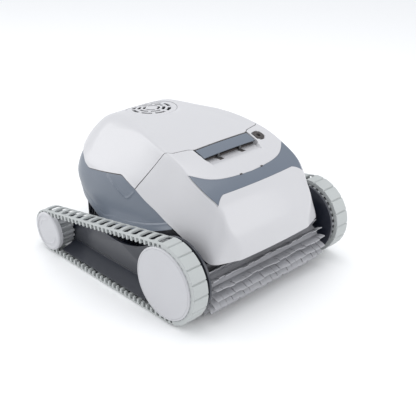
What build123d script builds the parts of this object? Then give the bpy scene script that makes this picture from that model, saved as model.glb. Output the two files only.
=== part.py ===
"""Robotic pool cleaner: tracked chassis, geared brush, top filter basket, hinged lid and outlet pump.

Frame: x across, front of the machine towards -y, z up, bottom of the tracks on z = 0. Millimetres.
"""

from build123d import *
from math import acos, atan, cos, degrees, hypot, pi, radians, sin, tan
import os

os.makedirs("parts", exist_ok=True)

# ---------------------------------------------------------------- driving dimensions
over_caps = 380.0  # width over the four wheel caps
cap_thick = 2.6
tread_gap = 0.4  # air between a cap and the side of the tread
tread_width = 29.6
tooth_pitch = 11.15  # pitch of the tread's inner teeth
front_slots = 36
rear_slots = 20
tread_pitches = 86  # even, so that one outer lug falls on every second tooth
tread_half = 1.5  # half of the tread band's thickness
lug_high = 4.5
tooth_deep = 3.5

wall = 3.0  # moulded shell wall
seam = 1.0  # visible gap between two shells
fit = 0.3  # air between parts that pass one another
running = 0.05  # radial clearance of a shaft in its bush

tub_half = 108.0  # half width of the chassis tub
tub_rear = 158.0
tub_floor = 14.0  # ground clearance under the tub
tub_top = 109.0
tub_wall = 3.0

plate_gap = 3.4  # air between a side plate and the ring gear
plate_thick = 4.0
axle_r = 6.0
bush_r = 9.0
drive_r = 4.0
brush_shaft_r = 5.0
brush_r = 44.0  # over the fins
brush_end = 13.0  # from the end of the brush to the side plate

ring_teeth = 48
pinion_teeth = 16
wheel_module = 2.0
motor_teeth = 32
shaft_teeth = 16
box_module = 1.0
drive_angle = 60.0  # where the drive pinion sits in the ring gear, degrees above rearwards
brush_angle = 229.0  # where the brush pinion sits, measured the same way

pump_y = 95.0
pod_r = 30.0
duct_r = 42.0
rotor_shaft_r = 3.0
grille_r = 46.0

box_r = 27.0  # drive box round its motor
basket_x = 72.0
basket_z = (44.0, 216.0)
basket_clear = 15.0  # from the basket to the drive box and to the pump pod

handle_half = 60.0
handle_rear = -81.5
handle_front = -104.0

# ---------------------------------------------------------------- derived places
cap_in = over_caps / 2 - cap_thick
tread_out = cap_in - tread_gap
tread_in = tread_out - tread_width
front_r = tooth_pitch * front_slots / (2 * pi)
rear_r = tooth_pitch * rear_slots / (2 * pi)
tread_over = tread_half + lug_high
front_z = front_r + tread_over
rear_z = rear_r + tread_over


def track_run():
    """Distance between the wheel axles along y that makes the tread a whole number of pitches long."""
    run = 300.0
    for _ in range(8):
        lean = atan((front_r - rear_r) / run)
        arcs = front_r * (pi + 2 * lean) + rear_r * (pi - 2 * lean)
        run = (tread_pitches * tooth_pitch - arcs) / 2
    return run


run = track_run()
lean = atan((front_r - rear_r) / run)
front_reach = front_r + tread_over
rear_reach = rear_r + tread_over
front_y = (front_reach - rear_reach - run) / 2
rear_y = front_y + run

gear_offset = wheel_module * (ring_teeth - pinion_teeth) / 2
drive_y = front_y + gear_offset * cos(radians(drive_angle))
drive_z = front_z + gear_offset * sin(radians(drive_angle))
brush_y = front_y + gear_offset * cos(radians(brush_angle))
brush_z = front_z + gear_offset * sin(radians(brush_angle))
motor_offset = box_module * (motor_teeth + shaft_teeth) / 2
motor_y = drive_y + motor_offset
motor_z = drive_z
gear_in = tread_in - 4.0  # inner face of the ring gear and its pinions
gear_out = gear_in + 12.0
plate_in = gear_in - plate_gap - plate_thick  # inner face of a side plate
plate_out = plate_in + plate_thick
brush_half = plate_in - brush_end
tub_front = drive_y + 12.2
basket_y = (motor_y + box_r + basket_clear, pump_y - pod_r - basket_clear)
intake_x = 48.0
intake_y = (sum(basket_y) / 2 - 27, sum(basket_y) / 2 + 21)


# ---------------------------------------------------------------- helpers
def save(name, *shapes):
    """Writes one node; several separate solids go into it as a group."""
    solids = [solid for shape in shapes for solid in shape.solids()]
    export_step(solids[0] if len(solids) == 1 else Compound(children=solids), f"parts/{name}.step")


def polygon(points):
    return make_face(Polyline(*points, close=True))


def slab_x(face, low, high):
    """Face drawn as (y, z), extruded between two x values."""
    return extrude(Plane.YZ.offset(low) * face, amount=high - low)


def slab_y(face, low, high):
    """Face drawn as (x, z), extruded between two y values."""
    return extrude(Plane.XZ.offset(-high) * face, amount=high - low)


def slab_z(face, low, high):
    return extrude(Plane.XY.offset(low) * face, amount=high - low)


def rod_x(y, z, radius, low, high):
    return slab_x(Pos(y, z) * Circle(radius), low, high)


def rod_z(x, y, radius, low, high):
    return slab_z(Pos(x, y) * Circle(radius), low, high)


def block(x, y, z):
    """Box from three (low, high) pairs."""
    size = [high - low for low, high in (x, y, z)]
    centre = [(high + low) / 2 for low, high in (x, y, z)]
    return Pos(*centre) * Box(*size)


def both(shape):
    """The shape and its mirror image across the middle of the machine."""
    return [shape, mirror(shape, about=Plane.YZ)]


def hull_of(*circles):
    """Convex face around circles given as (y, z, radius)."""
    face = None
    for y, z, radius in circles:
        disc = Pos(y, z) * Circle(radius)
        face = disc if face is None else face + disc
    return make_hull(face.edges())


# ---------------------------------------------------------------- outer form
# Side view of the top surface on the centre line, (y, z), from front foot to rear foot.
profile = [(-214, 60), (-213, 97), (-209, 133), (-197, 160), (-183, 184), (-168, 198), (-149, 209.5)]
profile += [(-126, 221), (-95, 235), (-62, 243), (-16, 250.5), (22, 253.5), (60, 254.6), (92, 254.2)]
profile += [(122, 250.5), (150, 240), (174, 221), (192, 197), (209, 170), (230, 142), (244, 60)]
crown_share = 0.967  # side profile at crown_at, scaled about the point below
crown_at = 150.0
crown_y, crown_z = 20.0, 100.0

# Right half of the plan, (x, y), from front corner to rear centre, at five heights.
plans = {
    60: [(60, -223), (94, -206), (117, -199), (126, -194), (131, -184), (134, -165), (136, -125)]
    + [(137.5, -94), (138, -61), (138, -10), (137, 35), (132, 68), (127, 88), (122, 106)]
    + [(113, 130), (102, 150), (86, 165), (50, 175), (0, 178)],
    95: [(60, -223), (94, -206), (116, -199), (125, -194), (130, -184), (133, -165), (135, -125)]
    + [(136.5, -94), (137, -61), (137, -10), (136.5, 35), (134, 72), (130.5, 96), (126.5, 116)]
    + [(119, 141), (107, 165), (90, 183), (54, 193), (0, 195)],
    130: [(52, -223), (85.5, -208), (106, -197.5), (113, -190.5), (120, -181), (124.5, -165), (128, -125)]
    + [(131, -94), (133, -61), (134, -10), (134, 35), (133, 69), (131.5, 94), (129.5, 116)]
    + [(125, 148), (115.5, 177), (99, 199), (62, 211), (0, 214)],
    170: [(41.5, -223), (73.5, -210), (94, -195.5), (99.5, -186.5), (108, -178), (113.5, -165), (120, -125)]
    + [(121.5, -94), (123.5, -61), (128.5, -10), (131, 35), (130.5, 69), (128.5, 92), (126, 110)]
    + [(122, 135), (114.5, 162), (98, 185), (66, 201), (0, 206)],
    258: [(20, -223), (50, -215), (69, -191), (70, -178), (82, -171), (91, -165), (102, -125)]
    + [(101, -94), (100, -61), (93, -10), (81, 35), (73, 69), (68, 92), (65, 112)]
    + [(63, 130), (57, 148), (45, 168), (26, 188), (0, 196)],
}


def moved_in(points, amount):
    """Open outline with each point moved to the right of its direction of travel."""
    moved = []
    for index, (u, v) in enumerate(points):
        before = points[max(index - 1, 0)]
        after = points[min(index + 1, len(points) - 1)]
        du, dv = after[0] - before[0], after[1] - before[1]
        length = (du * du + dv * dv) ** 0.5
        moved.append((u + amount * dv / length, v - amount * du / length))
    return moved


def closed_spline(points):
    edge = Spline(*points)
    return make_face(edge + Line(points[-1], points[0]))


def symmetric_face(half, inset):
    """Closed plan outline from its right half, which ends on the centre line."""
    right = moved_in(half, -inset)
    right[-1] = (0, half[-1][1] - inset)
    left = [(-x, y) for x, y in reversed(right[:-1])]
    return closed_spline(right + left)


def side_solid(inset):
    """The top surface: three side profiles, slightly smaller towards the flanks."""
    middle = moved_in(profile, inset)
    fixed_y, fixed_z = crown_y * (1 - crown_share), crown_z * (1 - crown_share)
    outer = [(fixed_y + y * crown_share, fixed_z + z * crown_share) for y, z in middle]
    sections = [(-crown_at, outer), (0, middle), (crown_at, outer)]
    return loft([Plane.YZ.offset(x) * closed_spline(points) for x, points in sections])


def flank_solid(inset):
    return loft([Pos(0, 0, z) * symmetric_face(half, inset) for z, half in plans.items()], ruled=True)


def form(inset):
    """Solid body of the machine, every surface moved in by inset."""
    return side_solid(inset) & flank_solid(inset)


# ---------------------------------------------------------------- seams, drawn from the side as (y, z)
cover_zone = [(-260, 97), (-186, 97), (-164, 108), (-132, 120), (-96, 133), (-66, 145), (-36, 155)]
cover_zone += [(-10, 167.5), (-62, 240), (-66, 300), (-260, 300)]
lid_zone = [(-10, 167.5), (28, 181), (124, 164), (140, 168), (157, 177), (176, 184), (230, 187)]
lid_zone += [(230, 300), (-66, 300), (-62, 240)]
skirt_zone = [(-105, 129.5), (-77, 117), (-42, 105), (12, 92), (53, 87), (72, 80), (88, 80), (120, 90)]
skirt_zone += [(168, 101), (230, 103), (230, 195), (-10, 195), (-62, 150)]
zone_half = 160.0
# The lid reaches forward to the handle in a tongue, drawn from above as (x, y).
tongue_half = [(101, -45), (97, -70), (68, -76), (62, handle_rear), (0, handle_rear)]
tongue_low = 222.0
skirt_step = 1.2  # the skirt lies this far inside the shells above it

hinge_y, hinge_z = 206.0, 183.0
knuckle_r = 4.5
hinge_pin_r = 2.0
lid_knuckle = (30.0, 42.0)
skirt_knuckles = [(22.0, 29.7), (42.3, 50.0)]


def grown(points, amount):
    face = polygon(points)
    return offset(face, amount=amount, kind=Kind.INTERSECTION) if amount else face


def zone(points, extra=0.0):
    return slab_x(grown(points, extra), -zone_half, zone_half)


def lid_space(extra=0.0):
    mirrored = [(-x, y) for x, y in reversed(tongue_half[:-1])]
    tongue = slab_z(grown(tongue_half + mirrored, extra), tongue_low - extra, 300)
    return zone(lid_zone, extra) + tongue


# ---------------------------------------------------------------- shells
def band_face(extra):
    """Outline of the slate band, seen from the front as (x, z), moved out by extra."""
    crest = [(-106, 219.5), (-84, 212.5), (-50, 208.5), (0, 207), (50, 208.5), (84, 212.5), (106, 219.5)]
    top = Spline(*[(x, z + extra) for x, z in crest])
    low = [(113, 200), (100.8, 184.2 - extra), (80.8, 195.4 - extra)]
    low += [(-x, z) for x, z in reversed(low)]
    return make_face(top + Polyline(top @ 1, *low, top @ 0))


band_thick = 1.6
pocket_x = 57.0
pocket_y = (-126.0, handle_rear - 2)
pocket_floor = 221.5
slot_x = 25.0
slot_wide = 7.0
slot_y = (-109.5, -98.5)
gland_x, gland_y = 76.0, -96.0
gland_r = 10.0
cord_r = 4.0
gland_low = 214.0


def front_cover():
    cover = (outer - inner) & zone(cover_zone)
    cover -= lid_space(seam)
    cover -= (outer - form_band) & slab_y(band_face(0.2), -230, -100)
    tray_x = pocket_x + wall
    tray = block((-tray_x, tray_x), (pocket_y[0] - wall, pocket_y[1]), (pocket_floor - wall, 300)) & outer
    room = block((-pocket_x, pocket_x), (pocket_y[0], pocket_y[1]), (pocket_floor, 300))
    gap = block((-handle_half - 1, handle_half + 1), (handle_front - 1, handle_rear + 2), (225, 300))
    cover = cover + (tray - lid_space(seam)) - room - gap
    for x in (-slot_x, slot_x):
        cover -= block((x - slot_wide / 2, x + slot_wide / 2), slot_y, (pocket_floor - 10, pocket_floor + 1))
    return cover - rod_z(gland_x, gland_y, gland_r, gland_low, 300)


def front_band():
    return (outer - form_band_back) & slab_y(band_face(0), -230, -100)


def cable_gland():
    body = rod_z(gland_x, gland_y, gland_r, gland_low + 4, 300) & outer
    nut = rod_z(gland_x, gland_y, gland_r + 3, gland_low - 2, gland_low + 4)
    return body + nut - rod_z(gland_x, gland_y, cord_r, 0, 300)


def lid():
    shell = (outer - inner) & lid_space()
    shell -= rod_z(0, pump_y, grille_r + fit, 230, 300)
    for sign in (-1, 1):
        low, high = sorted((sign * lid_knuckle[0], sign * lid_knuckle[1]))
        arm = block((low, high), (hinge_y - 9, hinge_y + 3.5), (hinge_z + 1, hinge_z + 12)) - inner
        shell += arm + rod_x(hinge_y, hinge_z, knuckle_r, low, high)
    return shell - rod_x(hinge_y, hinge_z, hinge_pin_r + running, -60, 60)


def body_skirt():
    shell = (skirt_form - skirt_inner) & zone(skirt_zone)
    shell -= lid_space(seam)
    shell -= zone(cover_zone, seam)
    for sign in (-1, 1):
        low, high = sorted((sign * lid_knuckle[0], sign * lid_knuckle[1]))
        shell -= block((low - fit, high + fit), (hinge_y - 14, 230), (hinge_z - 7, 230))
        for a, b in skirt_knuckles:
            low, high = sorted((sign * a, sign * b))
            ear = block((low, high), (hinge_y - 9, hinge_y), (hinge_z - 9, hinge_z)) - skirt_inner
            shell += ear + rod_x(hinge_y, hinge_z, knuckle_r, low, high)
    return shell - rod_x(hinge_y, hinge_z, hinge_pin_r, -60, 60)


def hinge_pins():
    low, high = skirt_knuckles[0][0] - 1, skirt_knuckles[1][1] + 1
    return both(rod_x(hinge_y, hinge_z, hinge_pin_r, low, high))


def outlet_grille():
    plate = (outer - form_grille) & rod_z(0, pump_y, grille_r, 230, 300)
    for ring, count in ((14, 5), (23, 8), (32, 11), (41, 14)):
        groove = rod_z(0, pump_y, ring + 2.2, 230, 300) - rod_z(0, pump_y, ring - 2.2, 230, 300)
        for index in range(count):
            spoke = Pos(0, pump_y, 260) * Rot(0, 0, 360 * index / count) * Pos(ring, 0) * Box(12, 3.2, 80)
            groove -= spoke
        plate -= groove
    return plate


# ---------------------------------------------------------------- handle on the lid's front edge
paddle_pin_r = 1.5
paddle_y = handle_rear - 4.0
paddle_z = 233.0
paddle_back = 1.6  # gap behind the plate, which turns into it a little
ear_x = (44.0, 48.0)


def latch_handle():
    """Plate flush with the shell, its hinge knuckles and two tabs that drop into the cover's slots."""
    reach = block((-handle_half, handle_half), (handle_front, handle_rear - paddle_back), (220, 300))
    plate = (outer - form_handle) & reach
    for sign in (-1, 1):
        low, high = sorted((sign * (ear_x[0] - 0.5), sign * (ear_x[0] - 12)))
        knuckle = rod_x(paddle_y, paddle_z, 3.0, low, high)
        web = block((low, high), (paddle_y - 1.5, paddle_y + 1.5), (paddle_z, 300)) & outer
        x = sign * slot_x
        tab = block((x - 2.2, x + 2.2), (handle_front + 1.5, handle_front + 4), (pocket_floor - 4, 300))
        plate += knuckle + web + (tab & outer)
    return plate - rod_x(paddle_y, paddle_z, paddle_pin_r + running, -60, 60)


def lid_ears():
    """Ears under the lid's tongue that hold the handle's pins."""
    ears = []
    for sign in (-1, 1):
        low, high = sorted((sign * ear_x[0], sign * ear_x[1]))
        side = [(paddle_y - 3, 300), (paddle_y - 3, paddle_z - 3), (handle_rear + 2, paddle_z - 3)]
        side += [(handle_rear + 10, paddle_z + 1), (handle_rear + 10, 300), (handle_rear + 0.5, 300)]
        ear = slab_x(polygon(side), low, high) & form_ear
        ears.append(ear - rod_x(paddle_y, paddle_z, paddle_pin_r, -60, 60))
    return ears


def handle_pins():
    return both(rod_x(paddle_y, paddle_z, paddle_pin_r, ear_x[0] - 12.5, ear_x[1]))


# ---------------------------------------------------------------- chassis
bay_y = (drive_y - 34.8, tub_front)  # the tub's high front bay over the brush
bay_z = 50.0
hood_gap = 3.5
deck = (106.0, 109.0)
# Bosses of the side plates as (y, z).
stud_spots = [(tub_front + 26, 40.0), (30.0, 45.0), (tub_rear - 20, 45.0)]
stud_r = 10.0
screw_r = 2.0
screw_long = 20.0


def tub_box(inside):
    """Outer block of the tub, or the room inside its walls."""
    half = tub_half - inside
    top = tub_top + inside
    low = block((-half, half), (tub_front + inside, tub_rear - inside), (tub_floor + inside, top))
    high = block((-half, half), (bay_y[0] + inside, tub_front + 2 * inside), (bay_z + inside, top))
    hood = rod_x(brush_y, brush_z, brush_r + hood_gap + inside, -200, 200)
    return low + high - hood


def chassis():
    tub = tub_box(0) - tub_box(tub_wall) - block((-200, 200), (-200, 200), (tub_top, 200))
    rim = form_deck & block((-200, 200), (-30, 200), deck)
    tub += rim - block((-tub_half + 1, tub_half - 1), (-40, tub_rear - 1), (0, 200))
    hood = rod_x(brush_y, brush_z, brush_r + hood_gap + tub_wall, -brush_half, brush_half)
    hood -= rod_x(brush_y, brush_z, brush_r + hood_gap, -200, 200)
    tub += hood & block((-200, 200), (brush_y - 12, tub_front - 8), (brush_z + 8, 200))
    for x in range(-102, 103, 6):
        tub += block((x - 1, x + 1), (tub_rear - 0.5, tub_rear + 1.8), (tub_floor + 10, deck[0] + 1))
    for y in range(100, 157, 6):
        for low, high in ((-tub_half - 1.8, -tub_half + 0.5), (tub_half - 0.5, tub_half + 1.8)):
            tub += block((low, high), (y - 1, y + 1), (tub_floor + 10, deck[0] + 1))
    tub -= block((-intake_x, intake_x), intake_y, (0, tub_floor + 10))
    for y, z in stud_spots:
        tub -= both(rod_x(y, z, stud_r + fit, tub_half, 200)) + both(rod_x(y, z, screw_r, 0, 200))
    return tub - rod_x(drive_y, drive_z, drive_r + 3, -200, 200)


guard_r = front_r + 1.0  # disc that covers the front wheel's inner face
shelf_y = (front_y + 0.85 * front_r, rear_y - 0.9 * rear_r)


def tread_shelf():
    """Shelf that slopes from the plate out over the tread's lower run, clear of its teeth."""
    low_x, low_z = tread_out - 5, tread_over + tread_half + tooth_deep + 2.2
    high_x, high_z = plate_out - 1, 24.2
    tilt = degrees(atan((high_z - low_z) / (low_x - high_x)))
    board = Box(hypot(low_x - high_x, high_z - low_z), shelf_y[1] - shelf_y[0], 2)
    return Pos((low_x + high_x) / 2, sum(shelf_y) / 2, (low_z + high_z) / 2) * Rot(0, tilt, 0) * board


def side_plate():
    """Left or right plate with its guard, shelf, brush arm, axle boss and the bosses that reach the tub."""
    outline = hull_of((front_y, front_z, 57), (rear_y, rear_z, 26), (rear_y - 20, 34, 22))
    outline -= Pos(20, 230) * Circle(162)
    plate = slab_x(outline + Pos(front_y, front_z) * Circle(guard_r), plate_in, plate_out)
    plate += slab_x(Pos(28, 24) * Rectangle(250, 3), plate_out - 0.5, plate_out + 2.5) + tread_shelf()
    arm = hull_of((brush_y, brush_z, 17), (tub_front + 14, 62, 24))
    plate += slab_x(arm, brush_half + 3, plate_in + 1)
    for y, z in stud_spots:
        plate += rod_x(y, z, stud_r, tub_half, plate_in + 1)
        plate -= rod_x(y, z, screw_r, 0, tub_half + screw_long)
    for y, z in ((front_y, front_z), (rear_y, rear_z)):
        plate += rod_x(y, z, axle_r + 5, plate_in - 8, plate_out + 1)
        plate -= rod_x(y, z, axle_r, 0, 200) + rod_x(y, z, axle_r + 3 + fit, 0, plate_in - 8)
    plate -= rod_x(brush_y, brush_z, bush_r, 100, 200)
    return plate - rod_x(drive_y, drive_z, bush_r, 100, 200)


def side_screws():
    """Socket screws through the tub wall into the side plates' bosses."""
    inside = tub_half - tub_wall
    screws = []
    for y, z in stud_spots:
        thread = rod_x(y, z, screw_r, inside, tub_half + screw_long)
        screws += both(rod_x(y, z, 4.5, inside - 3, inside) + thread)
    return screws


# ---------------------------------------------------------------- gears
def gear_face(teeth, module, inner_r, outer_r, slack, turn):
    """Involute gear outline between two radii; slack widens (or thins) each tooth at the pitch circle."""
    base = module * teeth / 2 * cos(radians(20))
    pitch = module * teeth / 2

    def half_angle(radius):
        tilt = acos(min(1, base / radius))
        return pi / (2 * teeth) + slack / (2 * pitch) + tan(radians(20)) - radians(20) - (tan(tilt) - tilt)

    radii = [inner_r + (outer_r - inner_r) * share for share in (0, 0.35, 0.7, 1)]
    points = []
    for index in range(teeth):
        middle = radians(turn) + 2 * pi * index / teeth
        flank = [(radius, middle - half_angle(radius)) for radius in radii]
        flank += [(radius, middle + half_angle(radius)) for radius in reversed(radii)]
        points += [(radius * cos(angle), radius * sin(angle)) for radius, angle in flank]
    return polygon(points)


def pinion_face(teeth, module, turn):
    pitch = module * teeth / 2
    return gear_face(teeth, module, pitch - 1.2 * module, pitch + 0.85 * module, -0.2, turn)


ring_turn = drive_angle  # a gap of the ring gear faces the drive pinion
ring_gap_step = 360 / ring_teeth
brush_slip = (ring_turn - brush_angle + ring_gap_step / 2) % ring_gap_step - ring_gap_step / 2
brush_turn = brush_angle + brush_slip * ring_teeth / pinion_teeth


def ring_hole():
    pitch = wheel_module * ring_teeth / 2
    tip, root = pitch - 0.75 * wheel_module, pitch + 1.2 * wheel_module
    return gear_face(ring_teeth, wheel_module, tip, root, 0.2, ring_turn)


# ---------------------------------------------------------------- wheels and treads
slot_fit = 0.5  # air round a tread tooth in its slot
web_thick = 3.0
hub_r = bush_r + 3.0


def wheel_face(radius, slots, turn):
    """Round rim with one slot for each tread tooth, centred on the origin."""
    rim = radius - tread_half - fit
    root = radius - tread_half - tooth_deep - slot_fit
    half_top = tooth_pitch * 0.24 + slot_fit
    half_root = tooth_pitch * 0.17 + slot_fit
    points = []
    for index in range(slots):
        middle = radians(turn) + 2 * pi * index / slots
        for reach, across in ((rim, -half_top), (root, -half_root), (root, half_root), (rim, half_top)):
            along, up = cos(middle), sin(middle)
            points.append((reach * along - across * up, reach * up + across * along))
        land = middle + pi / slots
        points.append((rim * cos(land), rim * sin(land)))
    return polygon(points)


def front_wheel():
    outline = Pos(front_y, front_z) * wheel_face(front_r, front_slots, -90)
    root = front_r - tread_half - tooth_deep - slot_fit
    wheel = slab_x(outline, gear_in, cap_in)
    wheel -= slab_x(Pos(front_y, front_z) * ring_hole(), gear_in, gear_out + 1)
    wheel -= rod_x(front_y, front_z, root - 4, gear_out + 1, cap_in)
    web = gear_out + 3
    wheel += rod_x(front_y, front_z, root - 3, web, web + web_thick)
    wheel += rod_x(front_y, front_z, hub_r, gear_in + 2, cap_in - 6)
    for index in range(6):
        centre = Pos(0, front_y, front_z) * Rot(60 * index + 30, 0, 0) * Pos(0, 34, 0)
        wheel -= centre * slab_x(Circle(8), web - 1, web + web_thick + 1)
    return wheel - rod_x(front_y, front_z, bush_r, 0, 200)


def rear_wheel():
    slip = run % tooth_pitch
    turn = -90 - slip / rear_r * 180 / pi
    wheel = slab_x(Pos(rear_y, rear_z) * wheel_face(rear_r, rear_slots, turn), gear_in, cap_in)
    web = (gear_in + cap_in) / 2
    for low, high in ((gear_in, web), (web + web_thick, cap_in)):
        wheel -= rod_x(rear_y, rear_z, 25.5, low, high) - rod_x(rear_y, rear_z, hub_r, low, high)
    for low, high in ((gear_in, gear_in + 2), (cap_in - 6, cap_in)):
        wheel -= rod_x(rear_y, rear_z, hub_r + 1, low, high)
    return wheel - rod_x(rear_y, rear_z, bush_r, 0, 200)


def wheel_bush(y, z):
    bush = rod_x(y, z, bush_r, gear_in + 1.5, cap_in - 7) + rod_x(y, z, hub_r, gear_in + 0.5, gear_in + 1.5)
    return bush - rod_x(y, z, axle_r + running, 0, 200)


def wheel_cap(y, z, radius):
    """Round cover plate with a rim and the spigot that snaps into the hub."""
    cap = rod_x(y, z, radius, cap_in, cap_in + cap_thick)
    cap += rod_x(y, z, bush_r, cap_in - 7, cap_in) - rod_x(y, z, bush_r - 2, cap_in - 7, cap_in - 1)
    return cap


def axles(y, z):
    pin = rod_x(y, z, axle_r, plate_in - 9, cap_in - 7.5)
    return both(pin + rod_x(y, z, axle_r + 3, plate_in - 12, plate_in - 8))


def tread_path(distance, out):
    """Point (y, z) on the pitch line after a distance from the front wheel's foot, moved outwards."""
    distance = distance % (tread_pitches * tooth_pitch)
    rear_arc = rear_r * (pi - 2 * lean)
    if distance <= run:
        return front_y + distance, tread_over - out
    if distance <= run + rear_arc:
        angle = -pi / 2 + (distance - run) / rear_r
        return rear_y + (rear_r + out) * cos(angle), rear_z + (rear_r + out) * sin(angle)
    top = pi / 2 - 2 * lean
    if distance <= 2 * run + rear_arc:
        along = distance - run - rear_arc
        start_y = rear_y + (rear_r + out) * cos(top)
        start_z = rear_z + (rear_r + out) * sin(top)
        return start_y - along * sin(top), start_z + along * cos(top)
    angle = top + (distance - 2 * run - rear_arc) / front_r
    return front_y + (front_r + out) * cos(angle), front_z + (front_r + out) * sin(angle)


def tread():
    """Closed band with a tooth every pitch inside and a lug every second pitch outside."""
    deep = -tread_half - tooth_deep
    tooth = ((-0.22, -tread_half), (-0.15, deep), (0.15, deep), (0.22, -tread_half), (0.5, -tread_half))
    lug = ((-0.62, tread_half), (-0.5, tread_over), (0, tread_over), (0.5, tread_over))
    lug += ((0.62, tread_half), (1, tread_half))
    inner_edge, outer_edge = [], []
    for index in range(tread_pitches):
        inner_edge += [tread_path((index + share) * tooth_pitch, out) for share, out in tooth]
    for index in range(0, tread_pitches, 2):
        outer_edge += [tread_path((index + share) * tooth_pitch, out) for share, out in lug]
    return slab_x(polygon(outer_edge) - polygon(inner_edge), tread_in, tread_out)


# ---------------------------------------------------------------- drive
def drive_shaft():
    return rod_x(drive_y, drive_z, drive_r, -gear_out - 2, gear_out + 2)


def drive_pinions():
    face = Pos(drive_y, drive_z) * pinion_face(pinion_teeth, wheel_module, drive_angle)
    return both(slab_x(face, gear_in + 0.5, gear_out - 0.5) - rod_x(drive_y, drive_z, drive_r, 0, 200))


def plate_bushes(y, z, radius, low):
    return both(rod_x(y, z, bush_r, low, plate_out) - rod_x(y, z, radius + running, 0, 200))


gear_x = (22.0, 30.0)  # gear pair inside the drive box
box_x = 50.0


def box_shape(inside):
    outline = hull_of((drive_y, drive_z, 12.2 - inside), (motor_y, motor_z, box_r - inside))
    return slab_x(outline, -box_x + inside, box_x - inside)


def drive_box():
    """Sealed housing of the drive motor and its gears."""
    case = box_shape(0) - box_shape(2.2) - slab_x(Rectangle(800, 800), gear_x[0] + 12, 200)
    case -= rod_x(drive_y, drive_z, drive_r + 1, -200, 0)
    return case


def drive_box_lid():
    lid_part = box_shape(0) - box_shape(2.2) - slab_x(Rectangle(800, 800), -200, gear_x[0] + 12)
    return lid_part - rod_x(drive_y, drive_z, drive_r + 1, 0, 200)


def shaft_gear():
    face = Pos(drive_y, drive_z) * pinion_face(shaft_teeth, box_module, 0)
    return slab_x(face, *gear_x) - rod_x(drive_y, drive_z, drive_r, 0, 200)


def motor_gear():
    face = Pos(motor_y, motor_z) * pinion_face(motor_teeth, box_module, 180 + 180 / motor_teeth)
    return slab_x(face, *gear_x) - rod_x(motor_y, motor_z, 3, 0, 200)


def motor_shaft():
    return rod_x(motor_y, motor_z, 3, gear_x[0] - 14, gear_x[1] + 1)


def drive_motor():
    can = rod_x(motor_y, motor_z, 20, -44, gear_x[0] - 6)
    can += rod_x(motor_y, motor_z, 8, gear_x[0] - 6, gear_x[0] - 3)
    return can - rod_x(motor_y, motor_z, 3 + running, gear_x[0] - 15, 100)


# ---------------------------------------------------------------- brush
core_r = 22.0
sleeve_r = 27.0
fin_count = 16


def brush_shaft():
    return rod_x(brush_y, brush_z, brush_shaft_r, -gear_out - 2, gear_out + 2)


def brush_core():
    tube = rod_x(brush_y, brush_z, core_r, -brush_half + 2, brush_half - 2)
    return tube - rod_x(brush_y, brush_z, brush_shaft_r, -200, 200)


def brush_sleeve():
    """Soft sleeve with straight fins, cut into steps across its length."""
    fins = Pos(brush_y, brush_z) * Circle(sleeve_r)
    reach = brush_r - sleeve_r + 2
    for index in range(fin_count):
        spoke = Rot(0, 0, 360 * index / fin_count) * Pos(brush_r - reach / 2, 0)
        fins += Pos(brush_y, brush_z) * spoke * Rectangle(reach, 3)
    fins &= Pos(brush_y, brush_z) * Circle(brush_r)
    sleeve = slab_x(fins, -brush_half, brush_half)
    for x in range(-108, 109, 27):
        cut = rod_x(brush_y, brush_z, 60, x - 0.8, x + 0.8)
        sleeve -= cut - rod_x(brush_y, brush_z, sleeve_r + 3, x - 0.8, x + 0.8)
    return sleeve - rod_x(brush_y, brush_z, core_r, -200, 200)


def brush_gears():
    face = Pos(brush_y, brush_z) * pinion_face(pinion_teeth, wheel_module, brush_turn)
    return both(slab_x(face, gear_in + 0.5, gear_out - 0.5) - rod_x(brush_y, brush_z, brush_shaft_r, 0, 200))


# ---------------------------------------------------------------- pump
pod_top = 176.0
pod_wall = 2.5
blade_z = (209.0, 223.0)


def pump_pod():
    pod = rod_z(0, pump_y, pod_r, tub_floor + tub_wall, pod_top)
    return pod - rod_z(0, pump_y, pod_r - pod_wall, tub_floor + 6, pod_top)


def pump_cap():
    cap = rod_z(0, pump_y, pod_r, pod_top, pod_top + 4) + rod_z(0, pump_y, 12, pod_top + 4, pod_top + 12)
    cap -= rod_z(0, pump_y, 8, pod_top + 5, 300)
    return cap - rod_z(0, pump_y, rotor_shaft_r + 0.5, 0, 300)


def shaft_seal():
    return rod_z(0, pump_y, 8, pod_top + 5, pod_top + 12) - rod_z(0, pump_y, rotor_shaft_r + running, 0, 300)


def pump_motor():
    can = rod_z(0, pump_y, 20, pod_top - 84, pod_top - 12)
    can += rod_z(0, pump_y, pod_r - pod_wall, pod_top - 12, pod_top - 6)
    return can - rod_z(0, pump_y, rotor_shaft_r + running, pod_top - 50, 300)


def control_board():
    board = block((-20, 20), (pump_y - 1, pump_y + 1), (24, 84))
    for x, z, size in ((-10, 40, 8), (8, 52, 10), (-6, 68, 6)):
        board += block((x - size / 2, x + size / 2), (pump_y + 1, pump_y + 4), (z - size / 2, z + size / 2))
    return board


def impeller_shaft():
    return rod_z(0, pump_y, rotor_shaft_r, pod_top - 48, blade_z[1] + 4)


def impeller():
    turbine = rod_z(0, pump_y, 10, blade_z[0] - 2, blade_z[1] + 1)
    reach = rod_z(0, pump_y, duct_r - 1.5, *blade_z)
    for index in range(5):
        blade = Rot(0, 0, 72 * index) * Pos(24, 0) * Rot(32, 0, 0) * Box(36, 30, 2)
        turbine += Pos(0, pump_y, sum(blade_z) / 2) * blade & reach
    return turbine - rod_z(0, pump_y, rotor_shaft_r, 0, 300)


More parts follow.
